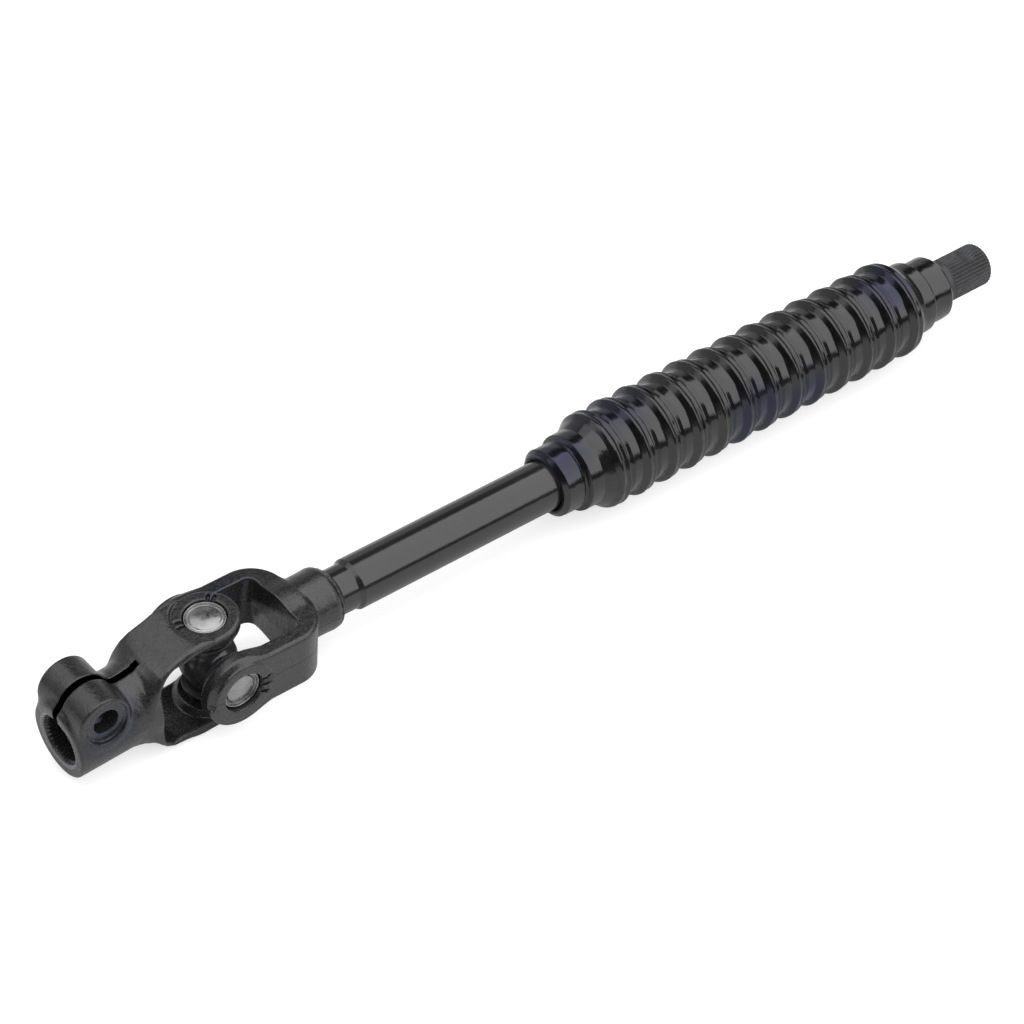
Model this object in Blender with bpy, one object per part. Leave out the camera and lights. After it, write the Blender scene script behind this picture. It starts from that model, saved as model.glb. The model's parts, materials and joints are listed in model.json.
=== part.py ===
"""Intermediate steering shaft: a clamp yoke, a universal joint, a tube and a sliding splined shaft.

Every mesh is worked out about the centre of the universal joint, with the shaft along +X and
one bearing journal along +Z. The whole shaft is then set down on the ground plane.
Lengths are in metres.
"""
import math

import bmesh
import bpy
import numpy as np
from mathutils import Matrix, Vector

MM = 0.001

# Fits shared by every pair of neighbours
SEAT_GAP = 0.3 * MM
CUT_MARGIN = 2.0 * MM

# Universal joint: cross, needle cups, seals and thrust pads
JOINT_SPAN = 46.0 * MM
CUP_DIAMETER = 17.0 * MM
CUP_LENGTH = 9.4 * MM
CUP_WALL = 1.0 * MM
CUP_FLOOR = 1.5 * MM
CUP_RIM_WIDTH = 1.3 * MM
CUP_RIM_RISE = 0.5 * MM
CUP_DOME_RISE = 0.4 * MM
NEEDLE_DIAMETER = 1.8 * MM
NEEDLE_COUNT = 12
THRUST_PAD_THICKNESS = 0.8 * MM
SEAL_THICKNESS = 1.3 * MM
SEAL_WIDTH = 5.3 * MM
CROSS_SHOULDER_DIAMETER = 14.6 * MM
CROSS_CORE_RADIUS = 12.0 * MM
DROOP = math.radians(3.4)

# Clamp yoke: splined hub, bolt boss and fork
HUB_REACH = 68.4 * MM
HUB_DIAMETER = 31.4 * MM
HUB_MOUTH_DIAMETER = 22.0 * MM
HUB_EDGE = 0.9 * MM
BOSS_SETBACK = 13.4 * MM
BOSS_HEIGHT = 13.0 * MM
BOSS_RADIUS = 10.6 * MM
BOSS_WIDTH = 28.6 * MM
BOLT_HOLE_DIAMETER = 10.6 * MM
BOLT_THREAD_DIAMETER = 8.6 * MM
SPOT_FACE_DIAMETER = 18.0 * MM
SPOT_FACE_DEPTH = 0.5 * MM
SLIT_WIDTH = 2.8 * MM
SLIT_END = 32.4 * MM
FORK_SPAN = 45.0 * MM
FORK_ARM = 6.0 * MM
FORK_EAR_DIAMETER = 26.8 * MM
FORK_MOUTH = 30.0 * MM
FORK_CORNER = 9.0 * MM
FORK_ROOT_WIDTH = 30.4 * MM
FORK_WAIST_INSET = 0.3 * MM
FLARE_START = 44.5 * MM
FLARE_LENGTH = 29.0 * MM
FLARE_INSET = 0.6 * MM

# Tube yoke: two flat arms, a web and a welding socket
YOKE_SPAN = 46.8 * MM
YOKE_ARM = 6.9 * MM
YOKE_ARM_HEIGHT = 24.4 * MM
YOKE_EAR_DIAMETER = 31.2 * MM
YOKE_MOUTH = 31.0 * MM
YOKE_MOUTH_CORNER = 4.0 * MM
YOKE_SHOULDER_RADIUS = 13.5 * MM
YOKE_SHOULDER_REACH = 41.6 * MM
YOKE_EDGE_START = 11.0 * MM
YOKE_EDGE_INSET = 2.4 * MM
SOCKET_REACH = 57.0 * MM
SOCKET_DIAMETER = 26.0 * MM
SOCKET_DEPTH = 11.0 * MM
CUP_LEAD_IN = 0.9 * MM

# Outer tube, weld and nylon liner
TUBE_DIAMETER = 21.0 * MM
TUBE_WALL = 1.5 * MM
TUBE_NECK_DIAMETER = 19.0 * MM
TUBE_NECK_LENGTH = 10.6 * MM
TUBE_LENGTH = 215.0 * MM
WELD_LEG = 2.6 * MM
WELD_RIPPLES = 18
LINER_LENGTH = 58.0 * MM
LINER_RECESS = 1.0 * MM

# Sliding shaft
SPLINE_TEETH = 36
SPLINE_DIAMETER = 19.0 * MM
SPLINE_DEPTH = 0.8 * MM
SPLINE_LENGTH = 23.5 * MM
SPLINE_CHAMFER = 1.2 * MM
SHAFT_END = 415.5 * MM
SEAT_DIAMETER = 20.0 * MM
SEAT_LENGTH = 24.0 * MM
SHANK_DIAMETER = 15.4 * MM
SHANK_LENGTH = 62.0 * MM
SHAFT_NOSE = 3.0 * MM
SLIDE_TEETH = 16
SLIDE_DIAMETER = 15.0 * MM
SLIDE_DEPTH = 1.2 * MM
SLIDE_TRAVEL_OUT = 25.0 * MM
NOTCH_RADIUS = 5.0 * MM
NOTCH_DEPTH = 1.3 * MM
NOTCH_SETBACK = 10.0 * MM
STOP_RING_THICKNESS = 1.6 * MM
STOP_RING_OPENING = math.radians(40)

# Bellows
BOOT_WALL = 1.4 * MM
BOOT_FOLDS = 13
BOOT_PITCH = 13.85 * MM
BOOT_FIRST_CREST = 196.8 * MM
BOOT_CREST_DIAMETER = 42.3 * MM
BOOT_VALLEY_DIAMETER = 33.0 * MM
BOOT_CUFF_DIAMETER = 28.8 * MM
BOOT_STEP_DIAMETER = 32.6 * MM
BOOT_CUFF_START = 165.4 * MM
BOOT_STEP_START = 176.0 * MM
BOOT_NECK_START = 187.2 * MM
BOOT_TAIL_STEP = 371.6 * MM
BOOT_TAIL_CUFF = 377.4 * MM
BOOT_TAIL_END = 387.8 * MM
BOOT_TAIL_DIAMETER = 27.8 * MM
BOOT_TAIL_STEP_DIAMETER = 31.4 * MM

# Facets round each turned piece
STEPS_BOOT = 20
STEPS_HUB = 36
STEPS_TUBE = 28
STEPS_CUP = 24
STEPS_SMALL = 16

# Derived places
CUP_FACE = JOINT_SPAN / 2
CUP_RADIUS = CUP_DIAMETER / 2
CUP_MOUTH = CUP_FACE - CUP_LENGTH
CUP_INNER_FACE = CUP_FACE - CUP_DOME_RISE - CUP_FLOOR
NEEDLE_RING = CUP_RADIUS - CUP_WALL - NEEDLE_DIAMETER
TRUNNION_RADIUS = NEEDLE_RING - SEAT_GAP
PAD_OUTER_FACE = CUP_INNER_FACE - SEAT_GAP
TRUNNION_REACH = PAD_OUTER_FACE - THRUST_PAD_THICKNESS - SEAT_GAP
SEAL_OUTER_FACE = CUP_MOUTH - SEAT_GAP
SHOULDER_REACH = SEAL_OUTER_FACE - SEAL_THICKNESS - SEAT_GAP
EAR_BORE = CUP_RADIUS + SEAT_GAP

HUB_RADIUS = HUB_DIAMETER / 2
BOSS_X = BOSS_SETBACK - HUB_REACH
SPLINE_TIP = SPLINE_DIAMETER / 2
SPLINE_ROOT = SPLINE_TIP - SPLINE_DEPTH

SOCKET_FLOOR = SOCKET_REACH - SOCKET_DEPTH
TUBE_START = SOCKET_FLOOR + SEAT_GAP
TUBE_MOUTH = TUBE_START + TUBE_LENGTH
TUBE_STEP = SOCKET_REACH + TUBE_NECK_LENGTH
TUBE_RADIUS = TUBE_DIAMETER / 2
TUBE_BORE = TUBE_RADIUS - TUBE_WALL
TUBE_NECK_RADIUS = TUBE_NECK_DIAMETER / 2
SOCKET_BORE = TUBE_NECK_RADIUS + SEAT_GAP
LINER_END = TUBE_MOUTH - LINER_RECESS
LINER_START = LINER_END - LINER_LENGTH
LINER_RADIUS = TUBE_BORE - SEAT_GAP

SPLINE_START = SHAFT_END - SPLINE_LENGTH
SEAT_START = SPLINE_START - SEAT_LENGTH
SEAT_RADIUS = SEAT_DIAMETER / 2
SLIDE_TIP = SLIDE_DIAMETER / 2
SLIDE_ROOT = SLIDE_TIP - SLIDE_DEPTH
STOP_RING_X = LINER_START - SLIDE_TRAVEL_OUT - SEAT_GAP
SHAFT_START = STOP_RING_X - STOP_RING_THICKNESS - SHAFT_NOSE
SLIDE_END = SEAT_START - SHANK_LENGTH

BOOT_CREST = BOOT_CREST_DIAMETER / 2
BOOT_VALLEY = BOOT_VALLEY_DIAMETER / 2

ALONG_X = Matrix.Rotation(math.radians(90), 4, 'Y')
JOURNALS = {
    "top": Matrix.Identity(4),
    "bottom": Matrix.Rotation(math.radians(180), 4, 'X'),
    "near": Matrix.Rotation(math.radians(90), 4, 'X'),
    "far": Matrix.Rotation(math.radians(-90), 4, 'X'),
}


def clear_scene():
    """Remove whatever the open file holds."""
    for item in list(bpy.data.objects):
        bpy.data.objects.remove(item, do_unlink=True)


def pivot(name, parent=None, location=(0, 0, 0), turn=(0, 0, 0)):
    """An empty that carries the pieces which move together."""
    empty = bpy.data.objects.new(name, None)
    bpy.context.scene.collection.objects.link(empty)
    empty.parent = parent
    empty.location = location
    empty.rotation_euler = turn
    return empty


def finish(name, colour, roughness, metallic):
    """A Principled material for one piece."""
    look = bpy.data.materials.new(name + "_finish")
    look.use_nodes = True
    shader = look.node_tree.nodes["Principled BSDF"]
    shader.inputs["Base Color"].default_value = (*colour, 1.0)
    shader.inputs["Roughness"].default_value = roughness
    shader.inputs["Metallic"].default_value = metallic
    return look


LOOKS = {
    "black_paint": ((0.018, 0.019, 0.022), 0.30, 0.0),
    "black_rubber": ((0.020, 0.020, 0.022), 0.48, 0.0),
    "seal_rubber": ((0.012, 0.012, 0.012), 0.60, 0.0),
    "bearing_steel": ((0.52, 0.53, 0.54), 0.28, 1.0),
    "cross_steel": ((0.20, 0.20, 0.21), 0.42, 1.0),
    "dark_phosphate": ((0.055, 0.057, 0.062), 0.46, 0.6),
    "nylon": ((0.72, 0.70, 0.64), 0.50, 0.0),
    "spring_steel": ((0.30, 0.30, 0.32), 0.35, 1.0),
}


def add_piece(name, mesh_data, parent, look):
    """Turn a bmesh into a named object with smooth round faces and its own material."""
    bmesh.ops.remove_doubles(mesh_data, verts=mesh_data.verts, dist=0.01 * MM)
    bmesh.ops.recalc_face_normals(mesh_data, faces=mesh_data.faces)
    mesh = bpy.data.meshes.new(name)
    mesh_data.to_mesh(mesh)
    mesh_data.free()
    mesh.shade_smooth()
    mesh.set_sharp_from_angle(angle=math.radians(32))
    piece = bpy.data.objects.new(name, mesh)
    bpy.context.scene.collection.objects.link(piece)
    piece.parent = parent
    if look:
        mesh.materials.append(finish(name, *LOOKS[look]))
    return piece


def turned(name, section, steps, parent, look, place=None):
    """Turn a section of (radius, height) points about +Z, then place it."""
    data = bmesh.new()
    points = [data.verts.new((radius, 0, height)) for radius, height in section]
    closed = section[0][0] > 0 or section[-1][0] > 0
    edges = [data.edges.new(pair) for pair in zip(points, points[1:])]
    if closed:
        edges.append(data.edges.new((points[-1], points[0])))
    bmesh.ops.spin(data, geom=points + edges, cent=(0, 0, 0), axis=(0, 0, 1),
                   angle=math.tau, steps=steps, use_merge=True)
    if place:
        bmesh.ops.transform(data, matrix=place, verts=data.verts)
    return add_piece(name, data, parent, look)


def turned_along(name, section, steps, parent, look):
    """Turn a section of (x, radius) points about the shaft's axis."""
    swapped = [(radius, x) for x, radius in section]
    return turned(name, swapped, steps, parent, look, ALONG_X)


def prism(name, outline, normal, low, high, parent, look=None):
    """Extrude an outline from low to high along X, Y or Z.

    The outline's two values are Y and Z for X, X and Z for Y, and X and Y for Z.
    """
    to_space = {
        'X': lambda a, b: (low, a, b),
        'Y': lambda a, b: (a, low, b),
        'Z': lambda a, b: (a, b, low),
    }[normal]
    step = {'X': (1, 0, 0), 'Y': (0, 1, 0), 'Z': (0, 0, 1)}[normal]
    data = bmesh.new()
    face = data.faces.new([data.verts.new(to_space(a, b)) for a, b in outline])
    raised = bmesh.ops.extrude_face_region(data, geom=[face])["geom"]
    moved = [item for item in raised if isinstance(item, bmesh.types.BMVert)]
    bmesh.ops.translate(data, verts=moved, vec=Vector(step) * (high - low))
    return add_piece(name, data, parent, look)


def join(piece, other, operation):
    """Boolean another shape into the piece, and keep that shape as a hidden guide."""
    other.hide_render = True
    other.display_type = 'WIRE'
    step = piece.modifiers.new(other.name, 'BOOLEAN')
    step.operation = operation
    step.object = other
    step.solver = 'EXACT'


def arc(centre, radius, start, stop, count):
    """Points on a circle from one angle in degrees to another."""
    angles = np.radians(np.linspace(start, stop, count))
    return [(centre[0] + radius * math.cos(a), centre[1] + radius * math.sin(a)) for a in angles]


def circle(centre, radius, count):
    """A closed ring of points, without the repeated last one."""
    return arc(centre, radius, 0, 360, count + 1)[:-1]


def toothed_outline(teeth, root, tip, tooth_share=0.5, slope_share=0.18):
    """Straight-flanked teeth around a circle: foot, tip, tip and foot for each tooth."""
    pitch = math.tau / teeth
    half_tip = pitch * (tooth_share - slope_share) / 2
    half_foot = pitch * (tooth_share + slope_share) / 2
    outline = []
    for index in range(teeth):
        middle = index * pitch
        for radius, offset in ((root, -half_foot), (tip, -half_tip), (tip, half_tip), (root, half_foot)):
            angle = middle + offset
            outline.append((radius * math.cos(angle), radius * math.sin(angle)))
    return outline


def smooth_share(value):
    """Ease from 0 to 1 with level ends."""
    value = min(max(value, 0.0), 1.0)
    return value * value * (3 - 2 * value)


def cup_outline():
    """The cup's bore with its needle rollers standing in from the wall."""
    wall = CUP_RADIUS - CUP_WALL
    pitch = math.tau / NEEDLE_COUNT
    half = NEEDLE_DIAMETER / 2 / (wall - NEEDLE_DIAMETER / 2)
    outline = []
    for index in range(NEEDLE_COUNT):
        middle = index * pitch
        outline.append((wall * math.cos(middle - half), wall * math.sin(middle - half)))
        for lean in (-0.55, 0.55):
            angle = middle + lean * half
            outline.append((NEEDLE_RING * math.cos(angle), NEEDLE_RING * math.sin(angle)))
        outline.append((wall * math.cos(middle + half), wall * math.sin(middle + half)))
    return outline


def bearing_cup(side, parent):
    """A drawn cup with a raised rim, a shallow dome and its row of needles."""
    rim_inside = CUP_RADIUS - CUP_RIM_WIDTH
    groove = CUP_FACE - CUP_RIM_RISE - CUP_DOME_RISE
    section = [
        (0, CUP_FACE - CUP_DOME_RISE * 0.2),
        (rim_inside * 0.5, CUP_FACE - CUP_DOME_RISE * 0.5),
        (rim_inside * 0.85, groove + CUP_DOME_RISE * 0.3),
        (rim_inside * 0.93, groove),
        (rim_inside, CUP_FACE - CUP_RIM_RISE * 0.2),
        (rim_inside + CUP_RIM_WIDTH * 0.3, CUP_FACE),
        (CUP_RADIUS - CUP_RIM_WIDTH * 0.25, CUP_FACE),
        (CUP_RADIUS, CUP_FACE - CUP_RIM_WIDTH * 0.4),
        (CUP_RADIUS, CUP_MOUTH),
        (0, CUP_MOUTH),
    ]
    cup = turned("bearing_cup_" + side, section, STEPS_CUP, parent, "bearing_steel", JOURNALS[side])
    bore = prism("needle_bore_" + side, cup_outline(), 'Z', CUP_MOUTH - CUT_MARGIN, CUP_INNER_FACE,
                 parent)
    bore.data.transform(JOURNALS[side])
    join(cup, bore, 'DIFFERENCE')
    return cup


def thrust_pad(side, parent):
    """A nylon disc between the trunnion's end and the cup's floor."""
    radius = TRUNNION_RADIUS - SEAT_GAP
    inner = PAD_OUTER_FACE - THRUST_PAD_THICKNESS
    section = [(0, PAD_OUTER_FACE), (radius, PAD_OUTER_FACE), (radius, inner), (0, inner)]
    return turned("thrust_pad_" + side, section, STEPS_SMALL, parent, "nylon", JOURNALS[side])


def journal_seal(side, parent):
    """A broad rubber shield that closes the cup's mouth."""
    inner = TRUNNION_RADIUS + SEAT_GAP
    outer = inner + SEAL_WIDTH
    lower = SEAL_OUTER_FACE - SEAL_THICKNESS
    lip = SEAL_THICKNESS * 0.35
    section = [
        (inner, SEAL_OUTER_FACE), (outer - lip, SEAL_OUTER_FACE), (outer, SEAL_OUTER_FACE - lip),
        (outer, lower), (inner, lower),
    ]
    return turned("journal_seal_" + side, section, STEPS_SMALL, parent, "seal_rubber", JOURNALS[side])


def joint_cross(parent):
    """Four trunnions with shoulders on a ball-like core."""
    core = CROSS_CORE_RADIUS
    shoulder = CROSS_SHOULDER_DIAMETER / 2
    body = turned("joint_cross", arc((0, 0), core, 90, -90, 9), STEPS_SMALL, parent, "cross_steel",
                  Matrix.Rotation(math.pi / STEPS_SMALL, 4, 'Z'))
    lead = TRUNNION_RADIUS * 0.12
    for side, place in JOURNALS.items():
        trunnion = turned("trunnion_" + side, [
            (0, TRUNNION_REACH), (TRUNNION_RADIUS - lead, TRUNNION_REACH),
            (TRUNNION_RADIUS, TRUNNION_REACH - lead), (TRUNNION_RADIUS, SHOULDER_REACH),
            (shoulder, SHOULDER_REACH), (shoulder, core / 2), (0, core / 3)],
            STEPS_SMALL, parent, None, place)
        join(body, trunnion, 'UNION')
    return body


def fork_side_outline():
    """Side view of the clamp yoke's fork: a root and two arms, with the round ears seen edge on."""
    outer = FORK_SPAN / 2
    inner = outer - FORK_ARM
    tip = FORK_EAR_DIAMETER / 2
    root = -FLARE_START
    upper = arc((-FORK_MOUTH + FORK_CORNER, inner - FORK_CORNER), FORK_CORNER, 180, 90, 7)
    lower = [(x, -z) for x, z in reversed(upper)]
    return ([(root, -outer), (tip, -outer), (tip, -inner)] + lower + upper
            + [(tip, inner), (tip, outer), (root, outer)])


def fork_plan_outline():
    """Plan of the fork: round ears, straight arms and a wider root."""
    ear = FORK_EAR_DIAMETER / 2
    root = FORK_ROOT_WIDTH / 2
    end = arc((0, 0), ear, -90, 90, 17)
    widening = [(-FORK_MOUTH * 0.75, ear), (-FORK_MOUTH * 0.95, (ear + root) / 2 - FORK_WAIST_INSET),
                (-FORK_MOUTH * 1.15, root), (-FLARE_START - CUT_MARGIN, root)]
    return end + widening + [(x, -y) for x, y in reversed(widening)]


def flare_section():
    """The hub's outside, swelling from its own radius to clear the fork's arms."""
    wide = math.hypot(FORK_SPAN / 2, FORK_EAR_DIAMETER / 2) + CUT_MARGIN
    narrow = HUB_RADIUS - FLARE_INSET
    start = -FLARE_START - CUT_MARGIN / 2
    points = [(start, 0), (start, narrow)]
    count = 8
    for index in range(count):
        share = index / (count - 1)
        x = -FLARE_START + share * FLARE_LENGTH
        points.append((x, narrow + (wide - narrow) * smooth_share(share)))
    far = FORK_EAR_DIAMETER
    return points + [(far, wide), (far, 0)]


def clamp_yoke(parent):
    """Forged fork with a split, splined hub that a pinch bolt closes."""
    fork = prism("clamp_yoke", fork_side_outline(), 'Y', -FORK_ROOT_WIDTH, FORK_ROOT_WIDTH, parent,
                 "black_paint")
    height = FORK_SPAN
    join(fork, prism("fork_plan", fork_plan_outline(), 'Z', -height, height, parent), 'INTERSECT')
    join(fork, turned_along("fork_flare", flare_section(), STEPS_HUB, parent, None), 'INTERSECT')
    hub = turned_along("fork_hub", [
        (-HUB_REACH, 0), (-HUB_REACH, HUB_RADIUS - HUB_EDGE), (-HUB_REACH + HUB_EDGE, HUB_RADIUS),
        (-FORK_MOUTH - CUT_MARGIN * 2, HUB_RADIUS - SEAT_GAP), (-FORK_MOUTH - CUT_MARGIN, 0)],
        STEPS_HUB, parent, None)
    join(fork, hub, 'UNION')
    half = BOSS_WIDTH / 2
    boss = prism("fork_boss", circle((BOSS_X, BOSS_HEIGHT), BOSS_RADIUS, STEPS_TUBE), 'Y', -half, half, parent)
    join(fork, boss, 'UNION')

    slit = [(-HUB_REACH - CUT_MARGIN, SLIT_WIDTH / 2), (-HUB_REACH - CUT_MARGIN, -SLIT_WIDTH / 2)]
    slit += arc((-SLIT_END - SLIT_WIDTH / 2, 0), SLIT_WIDTH / 2, -90, 90, 7)
    join(fork, prism("hub_slit", slit, 'Z', 0, FORK_SPAN, parent), 'DIFFERENCE')

    spline = toothed_outline(SPLINE_TEETH, SPLINE_ROOT + SEAT_GAP, SPLINE_TIP + SEAT_GAP)
    bore = prism("hub_spline_bore", spline, 'X', -HUB_REACH - CUT_MARGIN, -FORK_MOUTH + CUT_MARGIN,
                 parent)
    join(fork, bore, 'DIFFERENCE')
    mouth = HUB_MOUTH_DIAMETER / 2
    depth = mouth - SPLINE_ROOT
    lead = turned_along("hub_lead_in", [
        (-HUB_REACH - CUT_MARGIN, 0), (-HUB_REACH - CUT_MARGIN, mouth + CUT_MARGIN),
        (-HUB_REACH + depth, SPLINE_ROOT), (-HUB_REACH + depth, 0)], STEPS_HUB, parent, None)
    join(fork, lead, 'DIFFERENCE')

    hole = circle((BOSS_X, BOSS_HEIGHT), BOLT_HOLE_DIAMETER / 2, STEPS_SMALL)
    join(fork, prism("bolt_hole", hole, 'Y', -BOSS_WIDTH, 0, parent), 'DIFFERENCE')
    thread = circle((BOSS_X, BOSS_HEIGHT), BOLT_THREAD_DIAMETER / 2, STEPS_SMALL)
    join(fork, prism("bolt_thread", thread, 'Y', -SLIT_WIDTH / 4, BOSS_WIDTH, parent), 'DIFFERENCE')
    spot = circle((BOSS_X, BOSS_HEIGHT), SPOT_FACE_DIAMETER / 2, STEPS_CUP)
    spot_floor = -half + SPOT_FACE_DEPTH
    join(fork, prism("bolt_spot_face", spot, 'Y', -BOSS_WIDTH, spot_floor, parent), 'DIFFERENCE')

    for side in ("top", "bottom"):
        ear_cuts(fork, side, FORK_SPAN / 2, FORK_ARM, parent)
    return fork


def ear_cuts(yoke, side, face, thickness, parent):
    """Bore one ear for its cup, with a lead-in chamfer at the outer face."""
    section = [
        (0, face - thickness - CUT_MARGIN), (EAR_BORE, face - thickness - CUT_MARGIN),
        (EAR_BORE, face - CUP_LEAD_IN), (EAR_BORE + CUP_LEAD_IN, face),
        (EAR_BORE + CUP_LEAD_IN + CUT_MARGIN, face + CUT_MARGIN), (0, face + CUT_MARGIN)]
    join(yoke, turned("ear_bore_" + side, section, STEPS_CUP, parent, None, JOURNALS[side]), 'DIFFERENCE')


def yoke_side_outline():
    """Side view of the tube yoke: a round ear running into a bar of even height."""
    ear = YOKE_EAR_DIAMETER / 2
    bar = YOKE_ARM_HEIGHT / 2
    meet = math.degrees(math.asin(bar / ear)) + 14
    start = math.cos(math.radians(meet)) * ear
    run_out = start + (math.sin(math.radians(meet)) * ear - bar) * 2.0
    corner = YOKE_MOUTH_CORNER
    end = YOKE_SHOULDER_REACH + CUT_MARGIN * 3
    ring = arc((0, 0), ear, meet, 360 - meet, 25)
    lower = [(run_out, -bar), (end - corner, -bar), (end, -bar + corner * 0.6)]
    return ring + lower + [(x, -z) for x, z in reversed(lower)]


def yoke_plan_outline():
    """Plan of the tube yoke: a U with round shoulders and a web across its end."""
    outer = YOKE_SPAN / 2
    inner = outer - YOKE_ARM
    tip = -YOKE_EAR_DIAMETER
    shoulder = YOKE_SHOULDER_RADIUS
    centre = (YOKE_SHOULDER_REACH - shoulder, outer - shoulder)
    upper = arc(centre, shoulder, 90, 12, 8) + [(YOKE_SHOULDER_REACH + CUT_MARGIN * 4, SOCKET_BORE)]
    corner = YOKE_MOUTH_CORNER
    inside = arc((YOKE_MOUTH - corner, inner - corner), corner, 90, 0, 6)
    half = [(tip, inner)] + inside
    return ([(tip, outer)] + upper + [(x, -y) for x, y in reversed(upper)] + [(tip, -outer)]
            + [(x, -y) for x, y in half] + list(reversed(half)))


def yoke_end_outline():
    """End view of the tube yoke: a box whose two upper edges lean in."""
    outer = YOKE_SPAN / 2
    ear = YOKE_EAR_DIAMETER / 2
    lean = outer - YOKE_EDGE_INSET
    return [(outer, YOKE_EDGE_START), (lean, ear), (-lean, ear), (-outer, YOKE_EDGE_START),
            (-outer, -ear - CUT_MARGIN), (outer, -ear - CUT_MARGIN)]


def tube_yoke(parent):
    """Forged U with flat arms, a web and a socket that the tube is welded into."""
    outer = YOKE_SPAN / 2
    wide = outer + CUT_MARGIN
    yoke = prism("tube_yoke", yoke_side_outline(), 'Y', -wide, wide, parent, "black_paint")
    height = YOKE_EAR_DIAMETER
    join(yoke, prism("yoke_plan", yoke_plan_outline(), 'Z', -height, height, parent), 'INTERSECT')
    girth = prism("yoke_girth", yoke_end_outline(), 'X', -height, SOCKET_REACH, parent)
    join(yoke, girth, 'INTERSECT')
    radius = SOCKET_DIAMETER / 2
    collar = SOCKET_REACH - YOKE_SHOULDER_REACH
    edge = radius * 0.08
    socket = turned_along("yoke_socket", [
        (YOKE_MOUTH + CUT_MARGIN, 0), (YOKE_MOUTH + CUT_MARGIN * 2, radius * 0.8),
        (YOKE_SHOULDER_REACH + collar * 0.2, radius * 0.93),
        (YOKE_SHOULDER_REACH + collar * 0.4, radius - edge),
        (SOCKET_REACH - edge, radius), (SOCKET_REACH, radius - edge), (SOCKET_REACH, 0)],
        STEPS_HUB, parent, None)
    join(yoke, socket, 'UNION')
    bore = prism("yoke_socket_bore", circle((0, 0), SOCKET_BORE, STEPS_HUB), 'X', SOCKET_FLOOR,
                 SOCKET_REACH + CUT_MARGIN, parent)
    join(yoke, bore, 'DIFFERENCE')
    for side in ("near", "far"):
        ear_cuts(yoke, side, outer, YOKE_ARM, parent)
    return yoke


def outer_tube(parent):
    """Drawn tube with a reduced end that enters the yoke's socket."""
    neck_bore = TUBE_NECK_RADIUS - TUBE_WALL
    ease = TUBE_RADIUS - TUBE_NECK_RADIUS
    edge = TUBE_WALL * 0.2
    section = [
        (TUBE_START, neck_bore), (TUBE_START, TUBE_NECK_RADIUS - edge),
        (TUBE_START + edge, TUBE_NECK_RADIUS), (TUBE_STEP, TUBE_NECK_RADIUS),
        (TUBE_STEP + ease * 0.5, TUBE_RADIUS), (TUBE_MOUTH - edge, TUBE_RADIUS),
        (TUBE_MOUTH, TUBE_RADIUS - edge), (TUBE_MOUTH, TUBE_BORE),
        (TUBE_STEP + ease * 2, TUBE_BORE), (TUBE_STEP + ease, neck_bore)]
    return turned_along("outer_tube", section, STEPS_TUBE, parent, "black_paint")


def weld_bead(parent):
    """Fillet weld round the tube at the socket's end, its crown rising and falling."""
    start = SOCKET_REACH + SEAT_GAP
    root = TUBE_NECK_RADIUS + SEAT_GAP
    data = bmesh.new()
    steps = WELD_RIPPLES * 2
    rings = []
    for index in range(steps):
        angle = math.tau * index / steps
        swell = 1.0 + (0.12 if index % 2 else -0.06)
        leg = WELD_LEG * swell
        section = [(start, root), (start, root + leg), (start + leg * 0.62, root + leg * 0.66),
                   (start + leg, root)]
        rings.append([data.verts.new((x, r * math.cos(angle), r * math.sin(angle)))
                      for x, r in section])
    for ring, following in zip(rings, rings[1:] + rings[:1]):
        for corner in range(len(ring)):
            beside = (corner + 1) % len(ring)
            data.faces.new((ring[corner], ring[beside], following[beside], following[corner]))
    return add_piece("weld_bead", data, parent, "black_paint")


def spline_liner(parent):
    """Nylon sleeve in the tube's mouth, toothed to guide the sliding shaft."""
    liner = turned_along("spline_liner", [
        (LINER_START, 0), (LINER_START, LINER_RADIUS), (LINER_END, LINER_RADIUS), (LINER_END, 0)],
        STEPS_TUBE, parent, "nylon")
    share = 0.5 + 2 * SEAT_GAP * SLIDE_TEETH / (math.tau * SLIDE_TIP)
    teeth = toothed_outline(SLIDE_TEETH, SLIDE_ROOT + SEAT_GAP, SLIDE_TIP + SEAT_GAP, share)
    bore = prism("liner_bore", teeth, 'X', LINER_START - CUT_MARGIN, LINER_END + CUT_MARGIN, parent)
    join(liner, bore, 'DIFFERENCE')
    return liner


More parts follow.
